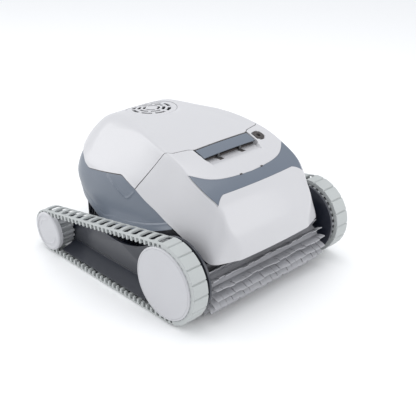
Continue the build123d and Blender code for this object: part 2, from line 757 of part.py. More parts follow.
def pump_duct():
    """Round duct under the outlet grille on three legs that stand on the pump pod."""
    duct = rod_z(0, pump_y, duct_r + 2.5, blade_z[0] - 6, 242) - rod_z(0, pump_y, duct_r, 0, 300)
    foot = rod_z(0, pump_y, pod_r + 3, pod_top - 8, pod_top) - rod_z(0, pump_y, pod_r, 0, 300)
    duct += foot
    side = [(pod_r + 0.2, pod_top - 8), (pod_r + 3, pod_top - 8), (duct_r + 2.3, blade_z[0] - 2)]
    side += [(duct_r + 2.3, blade_z[0] + 4), (duct_r + 0.2, blade_z[0] + 4), (pod_r + 0.2, pod_top - 1)]
    leg = extrude(Plane.XZ * polygon(side), amount=2, both=True)
    for angle in (30, 150, 270):
        duct += Pos(0, pump_y) * Rot(0, 0, angle) * leg
    return duct


# ---------------------------------------------------------------- filter and intake
post = 5.0
duct_wall = 2.5


def filter_frame():
    """Corner posts, rims and floor of the lift-out filter basket."""
    full = block((-basket_x, basket_x), basket_y, basket_z)
    inside_y = (basket_y[0] + post, basket_y[1] - post)
    frame = full - block((-basket_x + post, basket_x - post), inside_y, (basket_z[0] + 3, 300))
    low, high = basket_z[0] + 8, basket_z[1] - 10
    middle_y = sum(basket_y) / 2
    for x0, x1 in ((-basket_x + post, -3), (3, basket_x - post)):
        frame -= block((x0, x1), (-200, 200), (low, high))
    for y0, y1 in ((inside_y[0], middle_y - 3), (middle_y + 3, inside_y[1])):
        frame -= block((-200, 200), (y0, y1), (low, high))
    return frame - block((-intake_x, intake_x), intake_y, (0, basket_z[0] + 4))


def filter_panels():
    """Four fine mesh panels that line the inside of the basket's frame."""
    low, high = basket_z[0] + 4, basket_z[1] - 6
    inside = post + fit
    panels = []
    for y in (basket_y[0] + inside, basket_y[1] - inside - 1):
        panels.append(block((-basket_x + inside, basket_x - inside), (y, y + 1), (low, high)))
    for x in (-basket_x + inside, basket_x - inside - 1):
        span = (basket_y[0] + inside + 1.5, basket_y[1] - inside - 1.5)
        panels.append(block((x, x + 1), span, (low, high)))
    return panels


def basket_handle():
    """Wire bail folded down across the basket's rim."""
    reach = basket_x + 3
    fold = 26.0
    outline = Rectangle(2 * reach, 2 * fold) - Rectangle(2 * reach - 8, 2 * fold - 8)
    outline -= Pos(0, fold) * Rectangle(2 * reach + 10, 2 * fold)
    bail = Pos(0, sum(basket_y) / 2) * outline
    bail = slab_z(bail, basket_z[1] + 0.5, basket_z[1] + 3.5)
    y = sum(basket_y) / 2 - 1.5
    for low, high in ((-reach, -basket_x), (basket_x, reach)):
        bail += block((low, high), (y - 2, y + 2), (basket_z[1] - 9, basket_z[1] + 1))
    return bail


def intake_duct():
    room = block((-intake_x, intake_x), intake_y, (0, 300))
    across = (-intake_x - duct_wall, intake_x + duct_wall)
    along = (intake_y[0] - duct_wall, intake_y[1] + duct_wall)
    return block(across, along, (tub_floor + tub_wall, basket_z[0])) - room


flap_z = basket_z[0] - 2.5
flap_pin_r = 1.5


def intake_flap():
    """Right flap, hinged along its outer edge."""
    edge = intake_x - 3.0
    plate = block((0.5, edge), (intake_y[0] + 1, intake_y[1] - 1), (flap_z - 1, flap_z + 1))
    roll = Pos(edge, 0, flap_z) * Rot(90, 0, 0) * Cylinder(2.6, 200)
    roll &= block((0, 100), (intake_y[0] + 1, intake_y[1] - 1), (0, 300))
    pin = Pos(edge, 0, flap_z) * Rot(90, 0, 0) * Cylinder(flap_pin_r + running, 200)
    return plate + roll - pin


def flap_pins():
    pin = Pos(intake_x - 3.0, 0, flap_z) * Rot(90, 0, 0) * Cylinder(flap_pin_r, 200)
    return both(pin & block((0, 100), intake_y, (0, 300)))


# ---------------------------------------------------------------- build
outer = form(0)
inner = form(wall)
form_band = form(band_thick + 0.2)
form_band_back = form(band_thick)
form_handle = form(2.6)
form_ear = form(wall + 0.6)
form_grille = form(2.4)
form_deck = form(skirt_step + wall + 0.8)
skirt_form = form(skirt_step)
skirt_inner = form(skirt_step + wall)

save("front_cover", front_cover())
save("front_band", front_band())
save("cable_gland", cable_gland())
whole_lid = lid()
for ear in lid_ears():
    whole_lid += ear
save("lid", whole_lid)
save("body_skirt", body_skirt())
save("lid_hinge_pins", *hinge_pins())
save("outlet_grille", outlet_grille())
save("latch_handle", latch_handle())
save("handle_pins", *handle_pins())
save("chassis", chassis())
right_plate = side_plate()
save("side_plate_right", right_plate)
save("side_plate_left", mirror(right_plate, about=Plane.YZ))
save("side_screws", *side_screws())

for name, wheel, cap_r, y, z in (
    ("front", front_wheel(), front_r - 2.6, front_y, front_z),
    ("rear", rear_wheel(), rear_r + 1.1, rear_y, rear_z),
):
    pieces = {"wheel": wheel, "bush": wheel_bush(y, z), "cap": wheel_cap(y, z, cap_r)}
    for piece, shape in pieces.items():
        right, left = both(shape)
        save(f"{name}_{piece}_right", right)
        save(f"{name}_{piece}_left", left)
    save(f"{name}_axles", *axles(y, z))
right_tread, left_tread = both(tread())
save("track_right", right_tread)
save("track_left", left_tread)

save("drive_shaft", drive_shaft())
save("drive_pinions", *drive_pinions())
save("drive_bushes", *plate_bushes(drive_y, drive_z, drive_r, plate_in))
save("drive_box", drive_box())
save("drive_box_lid", drive_box_lid())
save("shaft_gear", shaft_gear())
save("motor_gear", motor_gear())
save("motor_shaft", motor_shaft())
save("drive_motor", drive_motor())

save("brush_shaft", brush_shaft())
save("brush_core", brush_core())
save("brush_sleeve", brush_sleeve())
save("brush_gears", *brush_gears())
save("brush_bushes", *plate_bushes(brush_y, brush_z, brush_shaft_r, brush_half + 3))

save("pump_pod", pump_pod())
save("pump_cap", pump_cap())
save("shaft_seal", shaft_seal())
save("pump_motor", pump_motor())
save("control_board", control_board())
save("impeller_shaft", impeller_shaft())
save("impeller", impeller())
save("pump_duct", pump_duct())

save("filter_frame", filter_frame())
save("filter_panels", *filter_panels())
save("basket_handle", basket_handle())
save("intake_duct", intake_duct())
right_flap, left_flap = both(intake_flap())
save("intake_flap_right", right_flap)
save("intake_flap_left", left_flap)
save("flap_pins", *flap_pins())
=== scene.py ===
# %% [markdown]
# # A tracked pool cleaner
# The CAD model arrives as a fixed frame: every housing, wheel, gear and pin is already in its place.
# This lesson puts the looks round it. The large moulded shells, the tracks, the wheel covers and the
# brush are worked out again as smooth surfaces, and the rest of the CAD pieces get rounded edges and a
# finish. Everything is in metres, with the front of the machine towards -Y and +Z up.

# %% The frame
import math

import bmesh
import bpy
import numpy as np
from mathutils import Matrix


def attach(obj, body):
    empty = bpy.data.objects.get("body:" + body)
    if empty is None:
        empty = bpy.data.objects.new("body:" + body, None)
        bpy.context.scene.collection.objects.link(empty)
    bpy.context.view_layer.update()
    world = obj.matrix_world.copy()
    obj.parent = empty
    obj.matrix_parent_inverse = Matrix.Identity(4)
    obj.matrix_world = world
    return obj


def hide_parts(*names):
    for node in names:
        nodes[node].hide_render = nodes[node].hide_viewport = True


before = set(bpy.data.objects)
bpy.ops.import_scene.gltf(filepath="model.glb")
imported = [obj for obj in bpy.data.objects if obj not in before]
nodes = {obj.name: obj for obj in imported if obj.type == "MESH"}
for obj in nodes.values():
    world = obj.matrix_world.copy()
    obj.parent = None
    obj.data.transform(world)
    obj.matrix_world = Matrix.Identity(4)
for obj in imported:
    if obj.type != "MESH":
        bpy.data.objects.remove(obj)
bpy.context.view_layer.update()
MM = 0.001
SIDES = ((-1, "left"), (1, "right"))

# %% [markdown]
# ## Camera, floor and light
# The camera stands at the left front corner, a little above the machine, with a long lens, so the
# shells keep their true proportions. A camera looks down its own -Z axis, so it is turned by the
# elevation first and by the azimuth second. The floor is a plain pale plane. White plastic shows its
# form only by soft gradients, so the light is a bright even world, a large lamp behind the left
# shoulder that models the flank, a soft one overhead and one in front.

# %% Camera, floor and light
CAMERA_AZIMUTH = math.radians(-43.94)
CAMERA_ELEVATION = math.radians(25.93)
CAMERA_PLACE = (-0.8469, -0.9299, 0.6973)


def add_camera():
    data = bpy.data.cameras.new("camera")
    data.lens = 66.9
    data.sensor_width = 36.0
    camera = bpy.data.objects.new("camera", data)
    camera.location = CAMERA_PLACE
    camera.rotation_euler = (math.pi / 2 - CAMERA_ELEVATION, 0.0, CAMERA_AZIMUTH)
    bpy.context.scene.collection.objects.link(camera)
    bpy.context.scene.camera = camera


def add_lamp(name, place, target, size, power):
    """Square area lamp that looks from its place to its target."""
    data = bpy.data.lights.new(name, "AREA")
    data.size = size
    data.energy = power
    lamp = bpy.data.objects.new(name, data)
    lamp.location = place
    away = np.array(place) - np.array(target)
    flat = math.hypot(away[0], away[1])
    lamp.rotation_euler = (math.atan2(flat, away[2]), 0.0, math.atan2(away[0], -away[1]))
    bpy.context.scene.collection.objects.link(lamp)


def add_stage():
    """Pale floor and an even white world."""
    side = 6.0
    mesh = bpy.data.meshes.new("floor")
    corners = [(-side, -side, 0), (side, -side, 0), (side, side, 0), (-side, side, 0)]
    mesh.from_pydata(corners, [], [(0, 1, 2, 3)])
    floor = bpy.data.objects.new("floor", mesh)
    bpy.context.scene.collection.objects.link(floor)
    paper = bpy.data.materials.new("floor_paper")
    paper.use_nodes = True
    shader = paper.node_tree.nodes["Principled BSDF"]
    shader.inputs["Base Color"].default_value = (0.98, 0.98, 0.98, 1)
    shader.inputs["Roughness"].default_value = 0.9
    mesh.materials.append(paper)
    world = bpy.data.worlds.new("studio")
    bpy.context.scene.world = world
    world.use_nodes = True
    world.node_tree.nodes["Background"].inputs["Color"].default_value = (0.95, 0.97, 1.0, 1)
    world.node_tree.nodes["Background"].inputs["Strength"].default_value = 0.89
    bpy.context.scene.view_settings.view_transform = "Standard"


add_camera()
add_stage()
add_lamp("rear left", (-1.3, 1.9, 0.9), (0, 0, 0.12), 1.4, 14.0)
add_lamp("overhead", (0.2, 0.1, 1.9), (0, 0, 0.15), 1.4, 10.0)
add_lamp("front", (0.9, -1.8, 0.8), (0, 0, 0.12), 1.2, 8.0)
print("camera, floor and three lamps are in place")

# %% [markdown]
# ## Finishes
# Moulded plastic is never one flat colour: the resin clouds a little, the mould leaves a fine grain
# and exposed edges go paler. One shader group makes all three, with its own values in each material.
# Roughness varies with the same clouds. The coat is the same all over, so it stays on the shader.

# %% The group for moulded surfaces
def new_group(name, takes, gives):
    """Empty shader group with its sockets: takes and gives map a socket's name to its type."""
    group = bpy.data.node_groups.new(name, "ShaderNodeTree")
    for socket, kind in takes.items():
        group.interface.new_socket(socket, in_out="INPUT", socket_type=kind)
    for socket, kind in gives.items():
        group.interface.new_socket(socket, in_out="OUTPUT", socket_type=kind)
    return group, group.nodes.new("NodeGroupInput"), group.nodes.new("NodeGroupOutput")


def feed(tree, socket, value):
    """Gives a socket a constant, or links it to another socket."""
    if isinstance(value, (int, float, tuple)):
        socket.default_value = value
    else:
        tree.links.new(value, socket)


def maths(tree, operation, first, second):
    node = tree.nodes.new("ShaderNodeMath")
    node.operation = operation
    feed(tree, node.inputs[0], first)
    feed(tree, node.inputs[1], second)
    return node.outputs[0]


def mix_colour(tree, kind, share, first, second):
    """Mixes two colours; each may be a socket or four numbers."""
    node = tree.nodes.new("ShaderNodeMix")
    node.data_type = "RGBA"
    node.blend_type = kind
    for index, value in ((0, share), (6, first), (7, second)):
        feed(tree, node.inputs[index], value)
    return node.outputs[2]


def noise(tree, scale, detail):
    coords = tree.nodes.new("ShaderNodeTexCoord")
    node = tree.nodes.new("ShaderNodeTexNoise")
    tree.links.new(coords.outputs["Object"], node.inputs["Vector"])
    feed(tree, node.inputs["Scale"], scale)
    node.inputs["Detail"].default_value = detail
    return node.outputs["Fac"]


def moulded_group():
    """Cloudy colour, paler edges, varied roughness and a fine grain."""
    number = "NodeSocketFloat"
    takes = {"Colour": "NodeSocketColor", "Clouds": number, "Wear": number}
    takes |= {"Roughness": number, "Grain size": number, "Grain depth": number}
    gives = {"Colour": "NodeSocketColor", "Roughness": number, "Normal": "NodeSocketVector"}
    tree, given, result = new_group("moulded surface", takes, gives)
    clouds = noise(tree, 26.0, 3.0)
    centred = maths(tree, "SUBTRACT", clouds, 0.5)
    lift = maths(tree, "ADD", 1.0, maths(tree, "MULTIPLY", centred, given.outputs["Clouds"]))
    combine = tree.nodes.new("ShaderNodeCombineColor")
    for socket in combine.inputs[:3]:
        tree.links.new(lift, socket)
    cloudy = mix_colour(tree, "MULTIPLY", 1.0, given.outputs["Colour"], combine.outputs[0])
    geometry = tree.nodes.new("ShaderNodeNewGeometry")
    edge = tree.nodes.new("ShaderNodeMapRange")
    edge.inputs["From Min"].default_value = 0.52
    edge.inputs["From Max"].default_value = 0.62
    tree.links.new(geometry.outputs["Pointiness"], edge.inputs["Value"])
    worn = maths(tree, "MULTIPLY", edge.outputs["Result"], given.outputs["Wear"])
    colour = mix_colour(tree, "MIX", worn, cloudy, (0.86, 0.87, 0.88, 1))
    rough = maths(tree, "ADD", given.outputs["Roughness"], maths(tree, "MULTIPLY", centred, 0.12))
    bump = tree.nodes.new("ShaderNodeBump")
    bump.inputs["Strength"].default_value = 0.6
    tree.links.new(given.outputs["Grain depth"], bump.inputs["Distance"])
    tree.links.new(noise(tree, given.outputs["Grain size"], 2.0), bump.inputs["Height"])
    for source, name in ((colour, "Colour"), (rough, "Roughness"), (bump.outputs[0], "Normal")):
        tree.links.new(source, result.inputs[name])
    return tree


MOULDED = moulded_group()


def plastic(name, colour, roughness, clouds=0.05, wear=0.15, grain=(900.0, 8e-5), coat=0.0, metal=0.0):
    """Material of one moulded, cast or turned part."""
    material = bpy.data.materials.new(name)
    material.use_nodes = True
    tree = material.node_tree
    shader = tree.nodes["Principled BSDF"]
    group = tree.nodes.new("ShaderNodeGroup")
    group.node_tree = MOULDED
    values = {"Colour": (*colour, 1), "Clouds": clouds, "Wear": wear}
    values |= {"Roughness": roughness, "Grain size": grain[0], "Grain depth": grain[1]}
    for socket, value in values.items():
        group.inputs[socket].default_value = value
    tree.links.new(group.outputs["Colour"], shader.inputs["Base Color"])
    tree.links.new(group.outputs["Roughness"], shader.inputs["Roughness"])
    tree.links.new(group.outputs["Normal"], shader.inputs["Normal"])
    shader.inputs["Coat Weight"].default_value = coat
    shader.inputs["Coat Roughness"].default_value = 0.12
    shader.inputs["Metallic"].default_value = metal
    return material


RECIPES = {
    "white_shell": dict(colour=(0.57, 0.566, 0.582), roughness=0.34, clouds=0.025, wear=0.10, coat=0.25),
    "slate_plastic": dict(colour=(0.125, 0.15, 0.19), roughness=0.38, wear=0.10, coat=0.2),
    "navy_plastic": dict(colour=(0.013, 0.016, 0.027), roughness=0.32, wear=0.06, coat=0.2),
    "grey_plastic": dict(colour=(0.36, 0.37, 0.38), roughness=0.5, wear=0.15),
    "cap_plastic": dict(colour=(0.54, 0.54, 0.56), roughness=0.38, clouds=0.03, wear=0.10, coat=0.15),
    "tread_rubber": dict(colour=(0.46, 0.48, 0.475), roughness=0.62, clouds=0.12, grain=(700.0, 0.0002)),
    "brush_rubber": dict(colour=(0.34, 0.34, 0.36), roughness=0.5, clouds=0.3, grain=(500.0, 0.0003)),
    "black_plastic": dict(colour=(0.022, 0.023, 0.027), roughness=0.45),
    # black_rubber is also laid on the strips and boxes below that are painted shade in gaps and holes.
    "black_rubber": dict(colour=(0.040, 0.032, 0.030), roughness=0.55, wear=0.05),
    "bush_plastic": dict(colour=(0.66, 0.65, 0.60), roughness=0.45),
    "flap_plastic": dict(colour=(0.58, 0.60, 0.61), roughness=0.45),
    "filter_mesh": dict(colour=(0.42, 0.47, 0.52), roughness=0.7, clouds=0.2, grain=(2500.0, 0.0004)),
    "steel": dict(colour=(0.55, 0.55, 0.56), roughness=0.28, wear=0.0, grain=(300.0, 0.00003), metal=1.0),
    "brass": dict(colour=(0.70, 0.52, 0.22), roughness=0.3, wear=0.0, metal=1.0),
    "board_green": dict(colour=(0.02, 0.16, 0.07), roughness=0.3, coat=0.5),
}
FINISH = {name: plastic(name, **recipe) for name, recipe in RECIPES.items()}
print("finishes:", len(FINISH))

# %% [markdown]
# ## From point grids to solid pieces
# A moulded wall is a thin solid: an outer skin, an inner skin, and a narrow wall round every rim and
# hole. Booleans could make it, but a grid of points keeps the flow of the surface. So one helper takes
# two point grids and a mask of the solid cells, and returns a closed mesh. A grid whose rows or
# columns close on themselves makes a belt or a disc.

# %% Grid helpers
def smooth_step(value, low, high):
    """0 below low, 1 above high, and 3t^2 - 2t^3 between."""
    t = np.clip((value - low) / (high - low), 0.0, 1.0)
    return t * t * (3 - 2 * t)


def spline_through(points, count):
    """Natural cubic curve through points: chord lengths are its parameter, the bend is continuous at
    every point and zero at both ends."""
    points = np.asarray(points, float)
    knots = np.r_[0.0, np.cumsum(np.linalg.norm(np.diff(points, axis=0), axis=1))]
    step = np.diff(knots)
    inner = np.arange(1, len(points) - 1)
    matrix = np.eye(len(points))
    matrix[inner, inner - 1] = step[:-1]
    matrix[inner, inner] = 2 * (step[:-1] + step[1:])
    matrix[inner, inner + 1] = step[1:]
    slope = np.diff(points, axis=0) / step[:, None]
    right = np.zeros_like(points)
    right[1:-1] = 6 * np.diff(slope, axis=0)
    bend = np.linalg.solve(matrix, right)
    at = np.linspace(0.0, knots[-1], count)
    k = np.clip(np.searchsorted(knots, at, side="right") - 1, 0, len(step) - 1)
    a = ((knots[k + 1] - at) / step[k])[:, None]
    b = 1 - a
    curve = a * points[k] + b * points[k + 1]
    return curve + ((a**3 - a) * bend[k] + (b**3 - b) * bend[k + 1]) * (step[k] ** 2)[:, None] / 6


def grid_normals(points):
    """Unit normals of a grid: the cross product of its two directions, turned away from the grid's
    middle; a pole takes its neighbour's."""
    normal = np.cross(np.gradient(points, axis=0), np.gradient(points, axis=1))
    length = np.linalg.norm(normal, axis=2, keepdims=True)
    normal = np.where(length > 1e-9, normal / np.maximum(length, 1e-9), 0.0)
    flat = length[..., 0] <= 1e-9
    for row, beside in ((0, 1), (-1, -2)):
        normal[row][flat[row]] = normal[beside][flat[row]]
    away = points - np.array([0.0, 20.0, 100.0])
    return normal * np.sign(np.sum(normal * away))


def wall_mesh(name, outer, inner, keep=None, close_rows=False, close_columns=False):
    """Closed mesh between two grids of points in millimetres. keep[i, j] is true where cell i, j is
    solid; every edge between a solid cell and an empty one gets a wall."""
    rows, columns = outer.shape[:2]
    row_next = (np.arange(rows) + 1) % rows if close_rows else np.arange(1, rows)
    column_next = (np.arange(columns) + 1) % columns if close_columns else np.arange(1, columns)
    row_at = np.arange(len(row_next))
    column_at = np.arange(len(column_next))
    index = np.arange(rows * columns).reshape(rows, columns)
    solid = np.ones((len(row_at), len(column_at)), bool) if keep is None else keep
    a = index[np.ix_(row_at, column_at)]
    b = index[np.ix_(row_next, column_at)]
    c = index[np.ix_(row_next, column_next)]
    d = index[np.ix_(row_at, column_next)]
    depth = rows * columns
    faces = [np.stack([a, b, c, d], -1)[solid], np.stack([a, d, c, b], -1)[solid] + depth]

    def beyond(shift, axis, closed):
        """Whether the next cell along an axis is solid; off an open grid's edge it isn't."""
        moved = np.roll(solid, -shift, axis)
        if not closed:
            edge = [slice(None), slice(None)]
            edge[axis] = -1 if shift > 0 else 0
            moved[tuple(edge)] = False
        return moved

    sides = ((1, 0, close_rows, b, c), (-1, 0, close_rows, d, a), (1, 1, close_columns, c, d))
    sides += ((-1, 1, close_columns, a, b),)
    for shift, axis, closed, start, end in sides:
        rim = solid & ~beyond(shift, axis, closed)
        faces.append(np.stack([end, start, start + depth, end + depth], -1)[rim])
    faces = np.concatenate(faces)
    points = np.concatenate([outer.reshape(-1, 3), inner.reshape(-1, 3)]) * MM
    used, faces = np.unique(faces, return_inverse=True)
    return mesh_from(name, points[used], faces.reshape(-1, 4))


def mesh_from(name, points, faces):
    """Mesh of points and equal-sided faces with its doubles merged and its faces turned outwards."""
    mesh = bpy.data.meshes.new(name)
    sides = faces.shape[1]
    mesh.vertices.add(len(points))
    mesh.vertices.foreach_set("co", np.ascontiguousarray(points, np.float32).ravel())
    mesh.loops.add(faces.size)
    mesh.loops.foreach_set("vertex_index", faces.astype(np.int32).ravel())
    mesh.polygons.add(len(faces))
    mesh.polygons.foreach_set("loop_start", np.arange(0, faces.size, sides, dtype=np.int32))
    mesh.update(calc_edges=True)
    tidy_mesh(mesh, 2e-6)
    return mesh


def tidy_mesh(mesh, distance, flatten=False):
    """Merges doubles and drops faces with no area; then, with flatten, joins nearly flat faces, and
    otherwise turns every face outwards.
    """
    shape = bmesh.new()
    shape.from_mesh(mesh)
    bmesh.ops.remove_doubles(shape, verts=shape.verts, dist=distance)
    bmesh.ops.dissolve_degenerate(shape, dist=distance, edges=shape.edges)
    if flatten:
        corner = math.radians(0.5)
        bmesh.ops.dissolve_limit(shape, angle_limit=corner, verts=shape.verts, edges=shape.edges)
    else:
        bmesh.ops.recalc_face_normals(shape, faces=shape.faces)
    shape.to_mesh(mesh)
    shape.free()


def add_piece(name, mesh, body, slot, replaced=(), bevel=0.0, segments=2, smooth_angle=32.0):
    """Object of a mesh, with its finish, soft edges, body and the CAD nodes it stands for."""
    piece = bpy.data.objects.new(name, mesh)
    bpy.context.scene.collection.objects.link(piece)
    mesh.materials.clear()
    mesh.materials.append(FINISH[slot])
    mesh.polygons.foreach_set("use_smooth", np.ones(len(mesh.polygons), bool))
    mesh.set_sharp_from_angle(angle=math.radians(smooth_angle))
    if bevel:
        soften = piece.modifiers.new("soft edges", "BEVEL")
        soften.width = bevel * MM
        soften.segments = segments
        soften.limit_method = "ANGLE"
        soften.angle_limit = math.radians(smooth_angle)
        soften.harden_normals = True
    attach(piece, body)
    if replaced:
        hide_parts(*replaced)
    print(name, "-", len(mesh.polygons), "faces, rides", body)
    return piece

# %% [markdown]
# ## The outer form
# All the shells are cut from one form, as on the real machine, so their surfaces run on across each
# seam. The top is a side profile swept across the machine and shrunk a little towards the flanks. The
# flanks are a stack of plan outlines. Where the two meet there is a soft crease. A subdivision cage
# could give the same shape, but formulas let every shell, seam and recess land on the CAD's lines.

# %% Side profile, plan outlines and crease
PROFILE = [(-214, 60), (-213, 97), (-209, 133), (-197, 160), (-183, 184), (-168, 198), (-149, 209.5)]
PROFILE += [(-126, 221), (-95, 235), (-62, 243), (-16, 250.5), (22, 253.5), (60, 254.6), (92, 254.2)]
PROFILE += [(122, 250.5), (150, 240), (174, 221), (192, 197), (209, 170), (230, 142), (244, 60)]
CROWN_SHARE = 0.967
CROWN_AT = 150.0
CROWN_Y, CROWN_Z = 20.0, 100.0
PLANS = {
    60: [(60, -223), (94, -206), (117, -199), (126, -194), (131, -184), (134, -165), (136, -125)]
    + [(137.5, -94), (138, -61), (138, -10), (137, 35), (132, 68), (127, 88), (122, 106)]
    + [(113, 130), (102, 150), (86, 165), (50, 175), (0, 178)],
    95: [(60, -223), (94, -206), (116, -199), (125, -194), (130, -184), (133, -165), (135, -125)]
    + [(136.5, -94), (137, -61), (137, -10), (136.5, 35), (134, 72), (130.5, 96), (126.5, 116)]
    + [(119, 141), (107, 165), (90, 183), (54, 193), (0, 195)],
    130: [(52, -223), (85.5, -208), (106, -197.5), (113, -190.5), (120, -181), (124.5, -165), (128, -125)]
    + [(131, -94), (133, -61), (134, -10), (134, 35), (133, 69), (131.5, 94), (129.5, 116)]
    + [(125, 148), (115.5, 177), (99, 199), (62, 211), (0, 214)],
    170: [(41.5, -223), (73.5, -210), (94, -195.5), (99.5, -186.5), (108, -178), (113.5, -165), (120, -125)]
    + [(121.5, -94), (123.5, -61), (128.5, -10), (131, 35), (130.5, 69), (128.5, 92), (126, 110)]
    + [(122, 135), (114.5, 162), (98, 185), (66, 201), (0, 206)],
    258: [(20, -223), (50, -215), (69, -191), (70, -178), (82, -171), (91, -165), (102, -125)]
    + [(101, -94), (100, -61), (93, -10), (81, 35), (73, 69), (68, 92), (65, 112)]
    + [(63, 130), (57, 148), (45, 168), (26, 188), (0, 196)],
}
STATIONS = np.linspace(0.0, 1.0, 3001)
PROFILE_Y, PROFILE_Z = spline_through(PROFILE, len(STATIONS)).T
HEIGHTS = np.array(list(PLANS), float)
OUTLINES = [spline_through(plan, 1500) for plan in PLANS.values()]
APEX = int(np.argmax(PROFILE_Z))


def crown(x):
    """Scale of the side profile at a distance x from the middle: a parabola."""
    return 1 - (1 - CROWN_SHARE) * (x / CROWN_AT) ** 2


def top_point(u, x):
    """(y, z) of the top surface at profile station u and distance x."""
    y = CROWN_Y + (np.interp(u, STATIONS, PROFILE_Y) - CROWN_Y) * crown(x)
    z = CROWN_Z + (np.interp(u, STATIONS, PROFILE_Z) - CROWN_Z) * crown(x)
    return y, z


def station_at_y(x, y):
    return np.interp(CROWN_Y + (y - CROWN_Y) / crown(x), PROFILE_Y, STATIONS)


def station_at_height(x, z, rear=False):
    """Station where the top surface passes a height, on its front or its rear slope."""
    height = CROWN_Z + (z - CROWN_Z) / crown(x)
    if rear:
        return np.interp(-height, -PROFILE_Z[APEX:], STATIONS[APEX:])
    return np.interp(height, PROFILE_Z[: APEX + 1], STATIONS[: APEX + 1])


def between_layers(layers, z):
    """Values of the stacked layers at height z, averaged over a short span of height, so that the
    flank has no fold at each outline."""
    total = 0.0
    spans = (-14.0, -7.0, 0.0, 7.0, 14.0)
    for span in spans:
        height = np.clip(z + span, HEIGHTS[0], HEIGHTS[-1])
        low = np.clip(np.searchsorted(HEIGHTS, height, side="right") - 1, 0, len(HEIGHTS) - 2)
        share = (height - HEIGHTS[low]) / (HEIGHTS[low + 1] - HEIGHTS[low])
        below = np.take_along_axis(layers, low[None], 0)[0]
        above = np.take_along_axis(layers, low[None] + 1, 0)[0]
        total = total + below + (above - below) * share
    return total / len(spans)


def flank_width(y, z):
    """Distance of the flank from the middle at (y, z)."""
    y, z = np.broadcast_arrays(np.asarray(y, float), np.asarray(z, float))
    return between_layers(np.stack([np.interp(y, line[:, 1], line[:, 0]) for line in OUTLINES]), z)


def crease_line():
    """Half width of the crease at each station: the x where the top surface meets the flank."""
    low = np.full(len(STATIONS), 5.0)
    high = np.full(len(STATIONS), CROWN_AT)
    for _ in range(36):
        middle = (low + high) / 2
        inside = middle < flank_width(*top_point(STATIONS, middle))
        low = np.where(inside, middle, low)
        high = np.where(inside, high, middle)
    return (low + high) / 2


CREASE_X = crease_line()
print("crease half width from", round(CREASE_X.min(), 1), "to", round(CREASE_X.max(), 1), "mm")

# %% [markdown]
# ## A shell's grid
# A shell is a grid of rows that run from the middle of the machine out to the crease, round it on
# a Bezier curve, and down the flank along straight ribs to the shell's lower edge. The rows follow
# the shell's own lines: its front edge, the edges of the band, the handle's pocket. Because the rows
# lie on those lines, a recess or a slot is a clean step.

# %% The grid of a shell
TOP_SHARE = 0.8
FIXED_SHARE = 0.86


def crease_reach(y):
    """Distance from the crease at which its rounding starts: tight at the front, wide at the rear."""
    return np.interp(y, [-190.0, -80.0, 20.0, 90.0, 170.0], [5.0, 4.0, 7.0, 24.0, 30.0])


def along_line(line, share):
    """Points at shares of a polyline's length."""
    length = np.r_[0.0, np.cumsum(np.linalg.norm(np.diff(line, axis=0), axis=1))]
    return np.stack([np.interp(share * length[-1], length, line[:, axis]) for axis in (0, 1)], -1)


def rounded_line(points, reach=5.0, count=400):
    """Polyline with its corners rounded: evenly spaced points, averaged over twice the reach."""
    line = along_line(np.asarray(points, float), np.linspace(0, 1, count))
    spacing = np.linalg.norm(line[1] - line[0])
    size = 2 * max(int(reach / spacing), 1) + 1
    weights = np.hanning(size + 2)[1:-1]
    weights /= weights.sum()
    smooth = line.copy()
    for axis in (0, 1):
        padded = np.r_[2 * line[0, axis] - line[size // 2:0:-1, axis], line[:, axis]]
        padded = np.r_[padded, 2 * line[-1, axis] - line[-2:-2 - size // 2:-1, axis]]
        smooth[:, axis] = np.convolve(padded, weights, mode="valid")
    return smooth


def shell_rows(breaks, counts):
    """Function that gives the station of every row at distances x, from the row lines in breaks."""
    piece = np.repeat(np.arange(len(counts)), counts)
    share = np.concatenate([np.arange(count) / count for count in counts])
    piece = np.r_[piece, len(counts) - 1][:, None]
    share = np.r_[share, 1.0][:, None]

    def stations(x):
        lines = np.stack([line(x) for line in breaks])
        start = np.take_along_axis(lines, piece[None] + 0 * x[None].astype(int), 0)[0]
        end = np.take_along_axis(lines, piece[None] + 1 + 0 * x[None].astype(int), 0)[0]
        return start + (end - start) * share

    return stations, piece[:, 0]


def shell_grid(stations, row_count, fixed_x, shares, blend_count, rib_count, lower_edge):
    """Right half of a shell: columns at fixed distances, stretched columns out to the crease's
    rounding, a quadratic Bezier round the crease, and ribs down to the lower edge. The fixed columns
    draw together where the shell is too narrow for them."""
    x = np.full((row_count, 1), 100.0)
    for _ in range(25):
        x = np.interp(stations(x), STATIONS, CREASE_X)
    corner = np.concatenate([x, *top_point(stations(x), x)], 1)
    length = np.r_[0.0, np.cumsum(np.linalg.norm(np.diff(corner[:, 1:], axis=0), axis=1))]
    foot = along_line(lower_edge, length / length[-1])
    rib = np.linalg.norm(foot - corner[:, 1:], axis=1)
    reach = np.minimum(crease_reach(corner[:, 1]), 0.5 * rib)
    edge_x = np.maximum(corner[:, 0] - reach, TOP_SHARE * corner[:, 0])[:, None]
    fixed = fixed_x * np.minimum(1.0, FIXED_SHARE * edge_x / fixed_x[-1])
    spread = fixed[:, -1:] + shares * (edge_x - fixed[:, -1:])
    across = np.concatenate([fixed, spread], 1)
    top = np.stack([across, *top_point(stations(across), across)], -1)

    def on_rib(share):
        side = corner[:, None, 1:] + (foot - corner[:, 1:])[:, None] * share[..., None]
        return np.concatenate([flank_width(side[..., 0], side[..., 1])[..., None], side], -1)

    first = (reach / np.maximum(rib, 1e-6))[:, None]
    flank = on_rib(first + (1 - first) * np.linspace(0, 1, rib_count))
    s = (np.arange(1, blend_count + 1) / (blend_count + 1))[None, :, None]
    blend = (1 - s) ** 2 * top[:, -1:] + 2 * s * (1 - s) * corner[:, None] + s**2 * flank[:, :1]
    return np.concatenate([top, blend, flank], 1)


